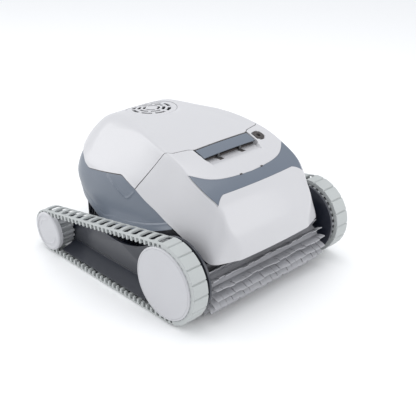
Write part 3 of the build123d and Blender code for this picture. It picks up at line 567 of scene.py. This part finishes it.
def mirrored(right):
    """Whole grid from its right half, whose first column is on the middle line."""
    left = right[:, :0:-1] * np.array([-1.0, 1.0, 1.0])
    return np.concatenate([left, right], 1)


def mirrored_cells(right):
    return np.concatenate([right[:, ::-1], right], 1)

# %% [markdown]
# ## The front cover
# This is one large white moulding from the brush up to the lid. It carries the slate band in a shallow
# recess, a scooped pocket in front of the handle with two latch slots in its floor, and a dimple for
# the cable gland. Its rows run along those features. The scoop is a smooth minimum of the shell and
# a flat floor with sloping ends, which gives the soft rim of a moulded recess.

# %% Front cover
WALL = 3.0
LID_FRONT = [(0, -81.5), (60.5, -81.5), (63, -79.5), (68, -76), (78, -74), (97, -70)]
LID_FRONT += [(104, -62), (112, -52)]
BAND_LOW = [(0, 195.4), (80.8, 195.4), (87, 193.6), (93, 190.6), (98, 187), (100.8, 184.2), (106, 178)]
BAND_CREST = spline_through([(0, 207), (50, 208.5), (84, 212.5), (106, 219.5), (112, 222)], 200)
SLOT_X = (20.0, 30.0)
SLOT_Y = (-111.5, -98.5)
POCKET_HALF = 56.0
POCKET_FLOOR = 221.5
GLAND = (76.0, -96.0)
SEAM_HALF = 0.75
COVER_FOOT = [(-206.5, 97), (-186, 97), (-164, 108), (-132, 120), (-96, 133), (-66, 145), (-36, 155)]
COVER_FOOT += [(-10.9, 167.1)]
BAND_DEPTH = 1.8
TENTHS = np.linspace(0.1, 1.0, 10)


def curve_at(points, x):
    line = np.asarray(points, float)
    return np.interp(x, line[:, 0], line[:, 1])


def lid_front_station(offset):
    rounded = rounded_line(LID_FRONT, 2.5)
    return lambda x: station_at_y(x, curve_at(rounded, x) + offset)


def soft_min(first, second, width):
    """Smooth minimum: -width log(exp(-first/width) + exp(-second/width))."""
    low = np.minimum(first, second)
    return low - width * np.log(np.exp((low - first) / width) + np.exp((low - second) / width))


def at_height(points, offset):
    return lambda x: station_at_height(x, curve_at(points, x) + offset)


def cover_lines(gap):
    """Row lines of the cover from its foot to the lid; gap is the air round the band."""
    return [
        at_height([(0, 97), (200, 97)], 0.0),
        at_height(BAND_LOW, -gap),
        at_height(BAND_LOW, 0.4 - gap),
        at_height(BAND_CREST, gap - 0.4),
        at_height(BAND_CREST, gap),
        lambda x: station_at_y(x, SLOT_Y[0] + 0 * x - 0.1 * np.maximum(x - 70, 0)),
        lambda x: station_at_y(x, SLOT_Y[1] + 0 * x),
        lid_front_station(-SEAM_HALF),
    ]


COVER_X = np.r_[0, 5, 10, 15, 17.5, 20, 25, 30, 33, 37, 42, 47, 51, 54]
COVER_X = np.r_[COVER_X, 55.5, 57, 58.5, 60, 61, 61.6, 62.5, 65, 70]


def front_cover():
    counts = [22, 1, 8, 1, 7, 6, 7]
    stations, piece = shell_rows(cover_lines(0.25), counts)
    right = shell_grid(stations, sum(counts) + 1, COVER_X, TENTHS, 5, 20, rounded_line(COVER_FOOT, 9.0))
    normal = grid_normals(right)
    x, y = right[..., 0], right[..., 1]
    row = np.arange(len(right))[:, None]
    first, last = counts[0] + 1, counts[0] + 1 + counts[2]
    top_columns = len(COVER_X) + 10 + 3
    banded = (row >= first) & (row <= last) & (np.arange(right.shape[1]) < top_columns)
    outer = right - normal * (BAND_DEPTH * banded)[..., None]
    under_handle = smooth_step(y, -114.0, -104.0)
    past_end = np.maximum(x - POCKET_HALF - 5.2 * under_handle, 0)
    pocket = POCKET_FLOOR + (5.0 + 25 * under_handle) * past_end
    in_reach = (y > -150) & (y < -60) & (x < 75)
    outer[..., 2] = np.where(in_reach & ~banded, soft_min(outer[..., 2], pocket, 0.6), outer[..., 2])
    keep = np.ones((len(right) - 1, right.shape[1] - 1), bool)
    slot_row = sum(counts[:5])
    columns = [int(np.searchsorted(COVER_X, edge)) for edge in SLOT_X]
    keep[slot_row: slot_row + counts[5], columns[0]: columns[1]] = False
    outer, normal = mirrored(outer), mirrored(normal)
    away = np.hypot(outer[..., 0] - GLAND[0], outer[..., 1] - GLAND[1])
    outer -= normal * (7.0 * (1 - smooth_step(away, 8.0, 11.0)))[..., None]
    mesh = wall_mesh("front_cover_shell", outer, outer - normal * WALL, mirrored_cells(keep))
    return add_piece("front_cover_shell", mesh, "root", "white_shell", ["front_cover"], bevel=0.5)


front_cover()

# %% [markdown]
# ## Painted shade in the pocket, slots and notches
# The shade under the handle's gap, in the two latch slots and in two small drain notches at the band's
# crest is painted: thin black boxes lie there.

# %% Painted shade boxes
NOTCH_X = 24.0


def shade_box(name, x, y, low, high):
    """Box between two heights; the heights may be grids."""
    x, y = np.meshgrid(x, y)
    top, foot = (np.stack([x, y, z + 0 * x], -1) for z in (high, low))
    # The black finish is painted shade: the box stands for the shade in a gap or a hole.
    add_piece(name, wall_mesh(name, top, foot), "root", "black_rubber", bevel=0.2)


def shade_boxes():
    shade_box("pocket_painted_shade", (-60.6, 60.6), (-98.2, -84.0), 221.8, 224.5)
    slot_y = (SLOT_Y[0] + 0.1, SLOT_Y[1] - 0.1)
    for sign, word in SIDES:
        middle = sign * sum(SLOT_X) / 2
        half = (SLOT_X[1] - SLOT_X[0]) / 2 - 0.1
        shade_box("slot_painted_shade_" + word, (middle - half, middle + half), slot_y, 218.0, 220.9)
        station = station_at_height(np.array([NOTCH_X]), curve_at(BAND_CREST, NOTCH_X) + 0.3)
        y, z = (float(value[0]) for value in top_point(station, np.array([NOTCH_X])))
        notch_x = (sign * NOTCH_X - 2.4, sign * NOTCH_X + 2.4)
        shade_box("notch_painted_shade_" + word, notch_x, (y - 1.4, y + 1.6), z - 2.5, z + 0.6)


shade_boxes()

# %% [markdown]
# ## The slate band
# The band is a thin strip laid in the cover's recess. It shares the cover's row lines with a little air
# round it, so its edges run exactly along the recess, and it ends on the crease at both sides.

# %% Slate band
def front_band():
    lines = cover_lines(0.0)
    counts = [14]
    stations, _ = shell_rows([lines[1], lines[4]], counts)
    right = shell_grid(stations, sum(counts) + 1, COVER_X, TENTHS, 5, 4, rounded_line(COVER_FOOT, 9.0))
    right = right[:, : len(COVER_X) + 10 + 2]
    normal = grid_normals(right)
    outer = right - normal * 0.15
    inner = right - normal * (BAND_DEPTH - 0.15)
    mesh = wall_mesh("slate_band", mirrored(outer), mirrored(inner))
    return add_piece("slate_band", mesh, "root", "slate_plastic", ["front_band"], bevel=0.35)


front_band()

# %% [markdown]
# ## The lid
# The lid's rows start on its curved front edge beside the handle and end on its low rear edge. The
# grille sits in a round hole: a square patch of a grid becomes round when every point moves along
# its ray until its distance equals the larger of its coordinates. The effect fades out. The top is
# let down in three shallow terraces whose edges follow the crease and fade before the grille.

# %% Lid
GRILLE_Y = 95.0
GRILLE_HOLE = 46.5
LID_FOOT = [(-9.1, 167.9), (28, 181), (124, 164), (140, 168), (157, 177), (176, 184), (197.5, 185.6)]
LID_X = np.linspace(0, GRILLE_HOLE, 11)
LID_SHARES = np.r_[np.linspace(0.1, 0.6, 6), 0.66, 0.70, 0.76, 0.80, 0.86, 0.90, 0.95, 1.0]


def lid_surface(x, y):
    """Height of the top surface over (x, y)."""
    return top_point(station_at_y(x, y), x)[1]


def round_hole(points, column):
    """Moves the points round a square patch so that its rim becomes a circle. column is 0 at the
    patch and 1 at the crease, where the effect ends."""
    a = points[..., 0] / GRILLE_HOLE
    b = (points[..., 1] - GRILLE_Y) / GRILLE_HOLE
    larger = np.maximum(np.maximum(a, np.abs(b)), 1e-6)
    radius = np.maximum(np.hypot(a, b), 1e-6)
    fade = (1 - smooth_step(larger, 1.0, 2.2)) * (1 - smooth_step(column, 0.0, 1.0))
    pull = fade * GRILLE_HOLE * np.minimum(larger, 1.3) * (1 / radius - 1 / larger)
    moved = points.copy()
    moved[..., 0] += pull * a
    moved[..., 1] += pull * b
    near = (larger < 2.2) & (np.abs(pull) > 1e-9)
    moved[..., 2] = np.where(near, lid_surface(moved[..., 0], moved[..., 1]), points[..., 2])
    return moved


def lid():
    lines = [
        lid_front_station(SEAM_HALF),
        lambda x: station_at_y(x, GRILLE_Y - GRILLE_HOLE + 0 * x),
        lambda x: station_at_y(x, GRILLE_Y + GRILLE_HOLE + 0 * x),
        lambda x: station_at_height(x, 185.6 + 0 * x, rear=True),
    ]
    counts = [26, 20, 18]
    stations, _ = shell_rows(lines, counts)
    right = shell_grid(stations, sum(counts) + 1, LID_X, LID_SHARES, 6, 22, rounded_line(LID_FOOT, 7.0))
    first, last = counts[0], counts[0] + counts[1]
    top_columns = len(LID_X) + len(LID_SHARES)
    column = np.r_[0 * LID_X, LID_SHARES, np.full(right.shape[1] - top_columns, 1.0)]
    right[:, :top_columns] = round_hole(right[:, :top_columns], column[:top_columns])
    normal = grid_normals(right)
    along = smooth_step(right[..., 1], -62.0, -30.0) * (1 - smooth_step(right[..., 1], 50.0, 90.0))
    level = np.where(column < 0.68, 1.0, np.where(column < 0.78, 0.6, np.where(column < 0.88, 0.3, 0.0)))
    dish = 0.8 * level * along
    outer = right - normal * dish[..., None]
    inner = outer - normal * WALL
    keep = np.ones((len(right) - 1, right.shape[1] - 1), bool)
    keep[first:last, : len(LID_X) - 1] = False
    mesh = wall_mesh("lid_shell", mirrored(outer), mirrored(inner), mirrored_cells(keep))
    return add_piece("lid_shell", mesh, "lid", "white_shell", ["lid"], bevel=0.5)


lid()

# %% [markdown]
# ## The skirt
# The slate skirt closes the body below the white shells. It lies a little further in than they do,
# which is what makes their edges read. Its lower border is a raised lip, and a small hooked ridge is
# embossed under the lid's seam. Its columns run round the plan and its rows go up.

# %% Skirt
SKIRT_LOW = [(-105, 129), (-77, 117), (-42, 105), (12, 92), (53, 87), (72, 80), (88, 80), (120, 90)]
SKIRT_LOW += [(168, 101), (230, 103)]
SKIRT_HIGH = [(-105, 129.4), (-96, 132), (-66, 143.8), (-36, 153.8), (-10, 166), (28, 179.6)]
SKIRT_HIGH += [(124, 162.8), (140, 166.8), (157, 175.8), (176, 182.6), (230, 185)]
SKIRT_STEP = 1.2
LIP_HIGH = 11.0
HOOK = [(66, 169), (40.4, 156.2), (21.9, 148), (13.7, 145.4), (7, 146.5), (3, 149.5), (-7.7, 161.5)]


def distance_to_line(y, z, line):
    """Shortest distance of points from a polyline."""
    best = np.full(y.shape, 1e9)
    for (y0, z0), (y1, z1) in zip(line[:-1], line[1:]):
        dy, dz = y1 - y0, z1 - z0
        t = np.clip(((y - y0) * dy + (z - z0) * dz) / (dy * dy + dz * dz), 0, 1)
        best = np.minimum(best, np.hypot(y - y0 - t * dy, z - z0 - t * dz))
    return best


def skirt_surface(columns, rows, low_line, high_line):
    """Right half of the skirt's surface between two border lines, and the height over the lower one."""
    share = np.linspace(0, 1, columns)
    behind = [line[line[:, 1] > SKIRT_LOW[0][0]] for line in OUTLINES]
    curves = np.stack([along_line(line, share) for line in behind])[:, None]
    up = np.linspace(0, 1, rows)[:, None]
    z = np.full((rows, columns), 130.0)
    wide = np.broadcast_to(curves, (len(HEIGHTS), *z.shape, 2))
    for _ in range(8):
        y = between_layers(wide[..., 1], z)
        low, high = curve_at(low_line, y), curve_at(high_line, y)
        z = low + (high - low) * up
    x = between_layers(wide[..., 0], z)
    rear_y = top_point(station_at_height(x, z, rear=True), x)[0]
    y = np.where(y > 150, soft_min(y, rear_y, 2.0), y)
    return np.stack([x, y, z], -1)[:, ::-1], (z - low)[:, ::-1]


def skirt():
    high_line = rounded_line(SKIRT_HIGH, 6.0)
    right, above = skirt_surface(240, 60, rounded_line(SKIRT_LOW, 6.0), high_line)
    normal = grid_normals(right)
    lip = smooth_step(above, LIP_HIGH - 0.5, LIP_HIGH + 2.0)
    flare = 1 - smooth_step(above, -4.0, LIP_HIGH)
    off_hook = distance_to_line(right[..., 1], right[..., 2], rounded_line(HOOK, 5.0)[::8])
    hook = np.exp(-((off_hook / 1.1) ** 2)) * (right[..., 0] > 40)
    outward = 0.6 - SKIRT_STEP - 1.2 * lip + 2.6 * flare + 1.3 * hook
    outer = right + normal * outward[..., None]
    inner = right - normal * (SKIRT_STEP + WALL)
    mesh = wall_mesh("skirt_shell", mirrored(outer), mirrored(inner))
    add_piece("skirt_shell", mesh, "root", "slate_plastic", ["body_skirt"], bevel=0.5)
    # Painted shade: a black strip in the gap above the skirt makes the gap under the shells' lower edges
    # read as a dark line.
    right, _ = skirt_surface(240, 2, high_line, high_line + np.array([0.0, 1.1]))
    normal = grid_normals(right)
    mesh = wall_mesh("skirt_gap_shade", mirrored(right - normal * 1.6), mirrored(right - normal * 4.0))
    add_piece("skirt_gap_shade", mesh, "root", "black_rubber")


skirt()

# %% [markdown]
# ## The lid's hinge
# Each hinge is three barrels on one pin: the lid's in the middle and one of the skirt's at each side.
# A barrel and the web that joins it to its shell are one outline, pushed along the pin.

# %% Hinge knuckles
HINGE_AT = (206.0, 183.0)
KNUCKLE_R = 4.5
WEB_REACH = 9.5
LID_KNUCKLE = (30.0, 42.0)
SKIRT_KNUCKLES = ((22.0, 29.7), (42.3, 50.0))


def knuckle(name, span, web, body, slot):
    """Barrel between two distances along the pin, with a web that leaves it over or under the pin,
    between two heights over the pin. The outline is closed by a fan at each end."""
    over = web[1] > 0
    angle = np.radians(np.linspace(180.0, 450.0, 37) if over else np.linspace(-90.0, 180.0, 37))
    y = HINGE_AT[0] + np.r_[KNUCKLE_R * np.cos(angle), -WEB_REACH, -WEB_REACH]
    z = HINGE_AT[1] + np.r_[KNUCKLE_R * np.sin(angle), web[::-1] if over else web]
    rings = [np.stack([x + 0 * y, y, z], -1) for x in span]
    hubs = [np.broadcast_to((x, *HINGE_AT), rings[0].shape) for x in span]
    index = np.arange(4 * len(y)).reshape(4, -1)
    after = np.roll(index, -1, 1)
    faces = np.stack([index[:-1], index[1:], after[1:], after[:-1]], -1).reshape(-1, 4)
    points = np.stack([hubs[0], *rings, hubs[1]]).reshape(-1, 3) * MM
    add_piece(name, mesh_from(name, points, faces), body, slot, bevel=0.4)


def hinge_knuckles():
    for sign, word in SIDES:
        spans = sorted(sign * edge for edge in LID_KNUCKLE)
        knuckle("lid_knuckle_" + word, spans, (2.2, KNUCKLE_R), "lid", "white_shell")
        for number, pair in enumerate(SKIRT_KNUCKLES):
            spans = sorted(sign * edge for edge in pair)
            knuckle(f"skirt_knuckle_{word}_{number}", spans, (-1.0, -KNUCKLE_R), "root", "slate_plastic")


hinge_knuckles()

# %% [markdown]
# ## Painted shade in the seam between cover and lid
# The shade in the gap between the cover and the lid is painted: a thin black strip on the same grid as
# the shells, a little below their surface, so the seam reads as one even dark line.

# %% Painted shade in the lid seam
def lid_gap_shade():
    edges = [lid_front_station(0.05 - SEAM_HALF), lid_front_station(SEAM_HALF - 0.05)]
    stations, _ = shell_rows(edges, [1])
    foot = np.array([(-10.8, 167.2), (-9.2, 167.8)])
    right = shell_grid(stations, 2, LID_X, LID_SHARES, 6, 22, foot)
    normal = grid_normals(right)
    mesh = wall_mesh("lid_gap_shade", mirrored(right - normal * 0.8), mirrored(right - normal * 3.0))
    add_piece("lid_gap_shade", mesh, "root", "black_rubber")


lid_gap_shade()
print("shells are done")

# %% [markdown]
# ## Tracks
# Each track is a belt with a bar across it every second tooth and an open slot between two bars; the
# ends of a slot are half circles. Inside it has a tooth at every pitch that drops into the wheels'
# slots. Round the front wheel the slots are closed flush, which gives broad flat pads with a narrow
# groove between them. The belt is a grid: its rows follow the path round both wheels and its columns
# run across it, so an open slot is a group of cells left out.

# %% Tracks
PITCH = 11.15
TEETH = 86
RUN = 320.844
LEAN = math.atan((63.885 - 35.49) / RUN)
FRONT_WHEEL = (-146.225, 69.885, 63.885)
REAR_WHEEL = (174.619, 41.492, 35.49)
TRACK_X = (157.4, 187.0)
BAND_IN = 2.6
TOOTH = 3.5
LUG = 6.0
RAIL = 5.0
SLOT_HALF = 6.9
SLOT_ROUND = 4.2
SLOT_ENDS = (158.4, 182.8)
BAR_ROWS = np.array([-0.35, -0.22, -0.15, 0.15, 0.22, 0.35]) * PITCH
SLOT_ROWS = np.array([1.67, 2.45, 3.9, 5.4, 6.4, SLOT_HALF])
SLOT_ROWS = np.r_[-SLOT_ROWS[::-1], 0.0, SLOT_ROWS]


def track_point(distance, out):
    """(y, z) on the pitch line after a distance from the front wheel's foot, moved outwards: along the
    ground, round the rear wheel, back along the top and round the front wheel."""
    rear_arc = REAR_WHEEL[2] * (math.pi - 2 * LEAN)
    distance = distance % (TEETH * PITCH)
    top = math.pi / 2 - 2 * LEAN
    on_rear = -math.pi / 2 + (distance - RUN) / REAR_WHEEL[2]
    on_front = top + (distance - 2 * RUN - rear_arc) / FRONT_WHEEL[2]
    along = distance - RUN - rear_arc
    rear_reach, front_reach = REAR_WHEEL[2] + out, FRONT_WHEEL[2] + out
    cases = [distance <= RUN, distance <= RUN + rear_arc, distance <= 2 * RUN + rear_arc]
    y = [FRONT_WHEEL[0] + distance, REAR_WHEEL[0] + rear_reach * np.cos(on_rear)]
    y += [REAR_WHEEL[0] + rear_reach * np.cos(top) - along * np.sin(top)]
    z = [LUG - out, REAR_WHEEL[1] + rear_reach * np.sin(on_rear)]
    z += [REAR_WHEEL[1] + rear_reach * np.sin(top) + along * np.cos(top)]
    y = np.select(cases, y, FRONT_WHEEL[0] + front_reach * np.cos(on_front))
    z = np.select(cases, z, FRONT_WHEEL[1] + front_reach * np.sin(on_front))
    return y, z


def track(side, name, node):
    local = np.r_[BAR_ROWS, SLOT_ROWS]
    in_slot = np.r_[0 * BAR_ROWS, 0 * SLOT_ROWS + 1] > 0
    pairs = TEETH // 2
    middle = 2 * PITCH * np.arange(pairs)[:, None] + PITCH * in_slot
    along = (middle + local).ravel()
    local = np.tile(local, pairs)
    in_slot = np.tile(in_slot, pairs)
    rear_arc = REAR_WHEEL[2] * (math.pi - 2 * LEAN)
    centre = middle.ravel()
    filled = (centre > 2 * RUN + rear_arc + 2) & (centre < TEETH * PITCH - 14)
    corner = np.maximum(np.abs(local) - (SLOT_HALF - SLOT_ROUND), 0)
    inset = SLOT_ROUND - np.sqrt(np.maximum(SLOT_ROUND**2 - corner**2, 0))
    inset = np.where(in_slot, inset, SLOT_ROUND)[:, None]
    low, high = SLOT_ENDS[0] + inset, SLOT_ENDS[1] - inset
    across = [TRACK_X[0] + 0 * low, (TRACK_X[0] + low) / 2, low, 0.85 * low + 0.15 * high]
    across += [(low + high) / 2, 0.15 * low + 0.85 * high, high, (high + TRACK_X[1]) / 2 + 0.5]
    across = np.concatenate(across + [TRACK_X[1] - 0.7 + 0 * low, TRACK_X[1] + 0 * low], 1)
    on_rail = np.array([1, 1, 0.6, 0, 0, 0, 0.6, 1, 1, 1])
    height = np.where(in_slot, RAIL, LUG)[:, None] + (RAIL - LUG) * on_rail * (~in_slot)[:, None]
    groove = LUG - 2.2 * (np.abs(local) < 0.1) * in_slot
    height = np.where(filled[:, None], groove[:, None], height)
    height[:, [0, -1]] -= 0.6
    depth = np.where(filled, -1.5, BAND_IN)
    outer_edge = np.arange(across.shape[1]) >= 6
    tooth = (np.abs(local) < 2.0)[:, None] & outer_edge
    depth = np.where(tooth, -1.5 - TOOTH, depth[:, None] + 0 * height)
    outer = np.stack([across, *track_point(along[:, None] + 0 * across, height)], -1)
    inner = np.stack([across, *track_point(along[:, None] + 0 * across, depth)], -1)
    keep = np.ones((len(along), across.shape[1] - 1), bool)
    open_row = in_slot & np.roll(in_slot, -1) & ~filled
    keep[open_row, 2:6] = False
    flip = np.array([side, 1.0, 1.0])
    mesh = wall_mesh(name, outer * flip, inner * flip, keep, close_rows=True)
    return add_piece(name, mesh, "root", "tread_rubber", [node], bevel=0.35, segments=1)


track(-1, "belt_left", "track_left")
track(1, "belt_right", "track_right")

# %% [markdown]
# ## Wheel covers
# The covers are turned shapes: (radius, height) stations spun about the axle. The front cover has a
# fine line near its rim and a small dimple. The rear cover has a raised ring and two raised arcs,
# which are ridges that fade in and out with the angle.

# %% Wheel covers
CAP_IN, CAP_OUT = 180.4, 190.0


def disc(name, centre, stations, side, body, node, relief=None, sectors=144):
    """Closed disc from (radius, height) stations; relief(radius, angle) adds to the outer face."""
    radius, height = np.array(stations, float).T
    angle = np.arange(sectors) * 2 * math.pi / sectors
    reach = radius[:, None] + 0 * angle
    face = height[:, None] + 0 * angle
    if relief:
        face = np.minimum(face + relief(reach, angle[None]), CAP_OUT)
    y, z = centre[0] + reach * np.cos(angle), centre[1] + reach * np.sin(angle)
    outer = np.stack([side * face, y, z], -1)
    inner = np.stack([side * (CAP_IN + 0 * face), y, z], -1)
    mesh = wall_mesh(name, outer, inner, close_columns=True)
    return add_piece(name, mesh, body, "cap_plastic", [node], smooth_angle=50.0)


def dimple(radius, angle):
    """Small round dent near the lower edge."""
    away = np.hypot(radius * np.cos(angle) - 3, radius * np.sin(angle) + 47)
    return -0.6 * (1 - smooth_step(away, 0.8, 2.0))


def arcs(radius, angle):
    """Two raised arcs on opposite sides."""
    ridge = np.exp(-(((radius - 23.0) / 0.9) ** 2))
    return 0.9 * ridge * smooth_step(np.cos(2 * (angle - 0.9)), 0.0, 0.25)


def cap_stations(radius, ring):
    """Stations from the middle to the rim. A ring adds a raised band, otherwise a fine line is cut."""
    flat = CAP_OUT - 1.3 if ring else CAP_OUT - 0.3
    stations = [(r, flat) for r in np.linspace(0.001, radius - 9, 24)]
    if ring:
        stations += [(radius - 7, flat), (radius - 6.2, CAP_OUT - 0.2), (radius - 5.4, CAP_OUT)]
        stations += [(radius - 2.6, CAP_OUT)]
    else:
        stations += [(radius - 4.0, flat), (radius - 3.6, flat - 0.5), (radius - 3.0, flat - 0.5)]
        stations += [(radius - 2.6, flat)]
    return stations + [(radius - 1.2, flat), (radius - 0.35, flat - 0.5), (radius, flat - 1.4)]


for sign, word in SIDES:
    wheels = (("front", FRONT_WHEEL, cap_stations(61.3, False), dimple),)
    wheels += (("rear", REAR_WHEEL, cap_stations(36.6, True), arcs),)
    for end, centre, stations, relief in wheels:
        node, body = f"{end}_cap_{word}", f"{end}_wheel_{word}"
        disc(f"{end}_cover_disc_{word}", centre, stations, sign, body, node, relief)

# %% [markdown]
# ## The brush
# The brush is a soft sleeve with sixteen fins along it. Each fin is a thin blade, cut into flaps by
# narrow slits, swept a little and slightly wavy, because soft plastic never stays straight. All fins
# are rows of one grid, with the cells between two fins left out, and slits are cells left out too.

# %% Brush
BRUSH_AXIS = (-167.219, 45.734)
BRUSH_HALF = 133.0
FINS = 16
FLAP = 13.3
FIN_ROOT = 25.5
FIN_LONG = 18.0


def brush():
    edges = np.arange(-BRUSH_HALF, BRUSH_HALF + 0.1, FLAP)
    slits = np.r_[edges[1:-1] - 0.5, edges[1:-1] + 0.5]
    x = np.sort(np.r_[slits, edges[0], edges[-1], (edges[1:] + edges[:-1]) / 2])
    radius = np.array([FIN_ROOT, 29.0, 33.0, 37.5, 42.0, 43.8])
    half = np.array([1.6, 1.5, 1.3, 1.1, 0.9, 0.5])[:, None]
    reach, along = np.meshgrid(radius, x, indexing="ij")
    flap = np.floor((along + BRUSH_HALF) / FLAP)
    sweep = 0.09 * ((reach - FIN_ROOT) / FIN_LONG) ** 1.5
    rng = np.random.default_rng(4)
    faces = [[], []]
    for fin in range(FINS):
        phase = rng.uniform(0, 6.28)
        wave = 0.022 * np.sin(along / 15 + phase) * (reach - FIN_ROOT) / FIN_LONG
        step = 0.02 * np.sin(flap * 2.4 + phase * 3) * (reach > 32)
        angle = 2 * math.pi * fin / FINS + sweep + wave + step
        for side, sign in zip(faces, (1, -1)):
            turn = angle + sign * half / reach
            y, z = BRUSH_AXIS[0] + reach * np.cos(turn), BRUSH_AXIS[1] + reach * np.sin(turn)
            side.append(np.stack([along, y, z], -1))
    keep = np.ones((FINS * len(radius) - 1, len(x) - 1), bool)
    keep[len(radius) - 1:: len(radius)] = False
    in_slit = np.arange(len(keep)) % len(radius) >= 2
    keep[np.ix_(in_slit, np.diff(x) < 1.5)] = False
    fins = wall_mesh("brush_fins", *(np.concatenate(side) for side in faces), keep)
    angle = np.arange(64) * 2 * math.pi / 64
    span = np.array([-BRUSH_HALF, -BRUSH_HALF + 1, BRUSH_HALF - 1, BRUSH_HALF])[:, None]

    def tube(reach):
        y = BRUSH_AXIS[0] + reach * np.cos(angle) + 0 * span
        z = BRUSH_AXIS[1] + reach * np.sin(angle) + 0 * span
        return np.stack([span + 0 * angle, y, z], -1)

    sleeve = wall_mesh("brush_tube", tube(27.0), tube(22.05), close_columns=True)
    add_piece("brush_tube", sleeve, "brush", "brush_rubber", bevel=0.4)
    add_piece("brush_fins", fins, "brush", "brush_rubber", ["brush_sleeve"], smooth_angle=40.0)


brush()

# %% [markdown]
# ## The outlet grille
# The grille fills the lid's round hole. Water leaves through short arc slots in rings, so it's a
# polar grid with cells left out. A rim and the shell's own curve keep it flush.

# %% Outlet grille
def outlet_grille():
    rings = np.array([0.001, 8, 11.0, 15.5, 19.5, 25.0, 29.5, 35.5, 39.0, 42.0, 45.9])
    sectors = 168
    angle = np.arange(sectors) * 2 * math.pi / sectors
    reach = rings[:, None] + 0 * angle
    x, y = reach * np.cos(angle), GRILLE_Y + reach * np.sin(angle)
    z = lid_surface(np.abs(x), y) - 0.8
    outer = np.stack([x, y, z], -1)
    inner = outer - np.array([0, 0, 2.4])
    keep = np.ones((len(rings) - 1, sectors), bool)
    cell = np.arange(sectors)
    for ring, period, bridge in ((2, 42, 8), (4, 28, 6), (6, 21, 5)):
        keep[ring] = (cell + 3 * ring) % period < bridge
    mesh = wall_mesh("grille_plate", outer, inner, keep, close_columns=True)
    add_piece("grille_plate", mesh, "lid", "white_shell", ["outlet_grille"], bevel=0.4, segments=1)


outlet_grille()

# %% [markdown]
# ## The latch handle
# The handle is a flush plate that shares the shell's top surface, so it's cut from the same formula as
# the shells. Two black tabs under it drop into the slots of the pocket.

# %% Latch handle
HANDLE_X, HANDLE_Y = 59.2, (-104.0, -83.2)
TAB_FOOT = 221.2


def latch_handle():
    x = np.linspace(0, HANDLE_X, 25)[None]
    y = np.linspace(*HANDLE_Y, 9)[:, None]
    right = np.stack([x + 0 * y, y + 0 * x, lid_surface(x + 0 * y, y + 0 * x)], -1)
    normal = grid_normals(right)
    mesh = wall_mesh("handle_plate", mirrored(right), mirrored(right - normal * 2.6))
    add_piece("handle_plate", mesh, "latch", "slate_plastic", ["latch_handle"], bevel=0.9)
    for sign, word in SIDES:
        x, y = np.meshgrid([sign * 25 - 2.2, sign * 25 + 2.2], [-102.4, -100.0])
        top = np.stack([x, y, lid_surface(np.abs(x), y) - 2.65], -1)
        foot = np.stack([x, y, TAB_FOOT + 0 * x], -1)
        mesh = wall_mesh("latch_tab", top, foot)
        add_piece("latch_tab_" + word, mesh, "latch", "black_plastic", bevel=0.3)


latch_handle()

# %% [markdown]
# ## CAD pieces with softened edges
# The rest of what shows comes straight from the CAD: the chassis, the side plates and the wheels. Their
# edges are too sharp to catch light. A copy of each is merged, its flat triangles are
# joined into whole faces, and a bevel rounds what is left. Pieces inside only get their finish.

# %% Softened copies and finishes
def soften(node, body, slot, width):
    mesh = nodes[node].data.copy()
    tidy_mesh(mesh, 1e-6, flatten=True)
    return add_piece(node + "_soft", mesh, body, slot, [node], bevel=width, smooth_angle=30.0)


soften("chassis", "root", "navy_plastic", 0.8)
for word in ("left", "right"):
    soften("side_plate_" + word, "root", "navy_plastic", 0.6)
    for wheel in ("rear_wheel_" + word, "front_wheel_" + word):
        soften(wheel, wheel, "grey_plastic", 0.4)

for name, node in nodes.items():
    for index, material in enumerate(node.data.materials):
        node.data.materials[index] = FINISH[material.name.split(".")[0]]
print("finishes on", len(nodes), "CAD nodes")
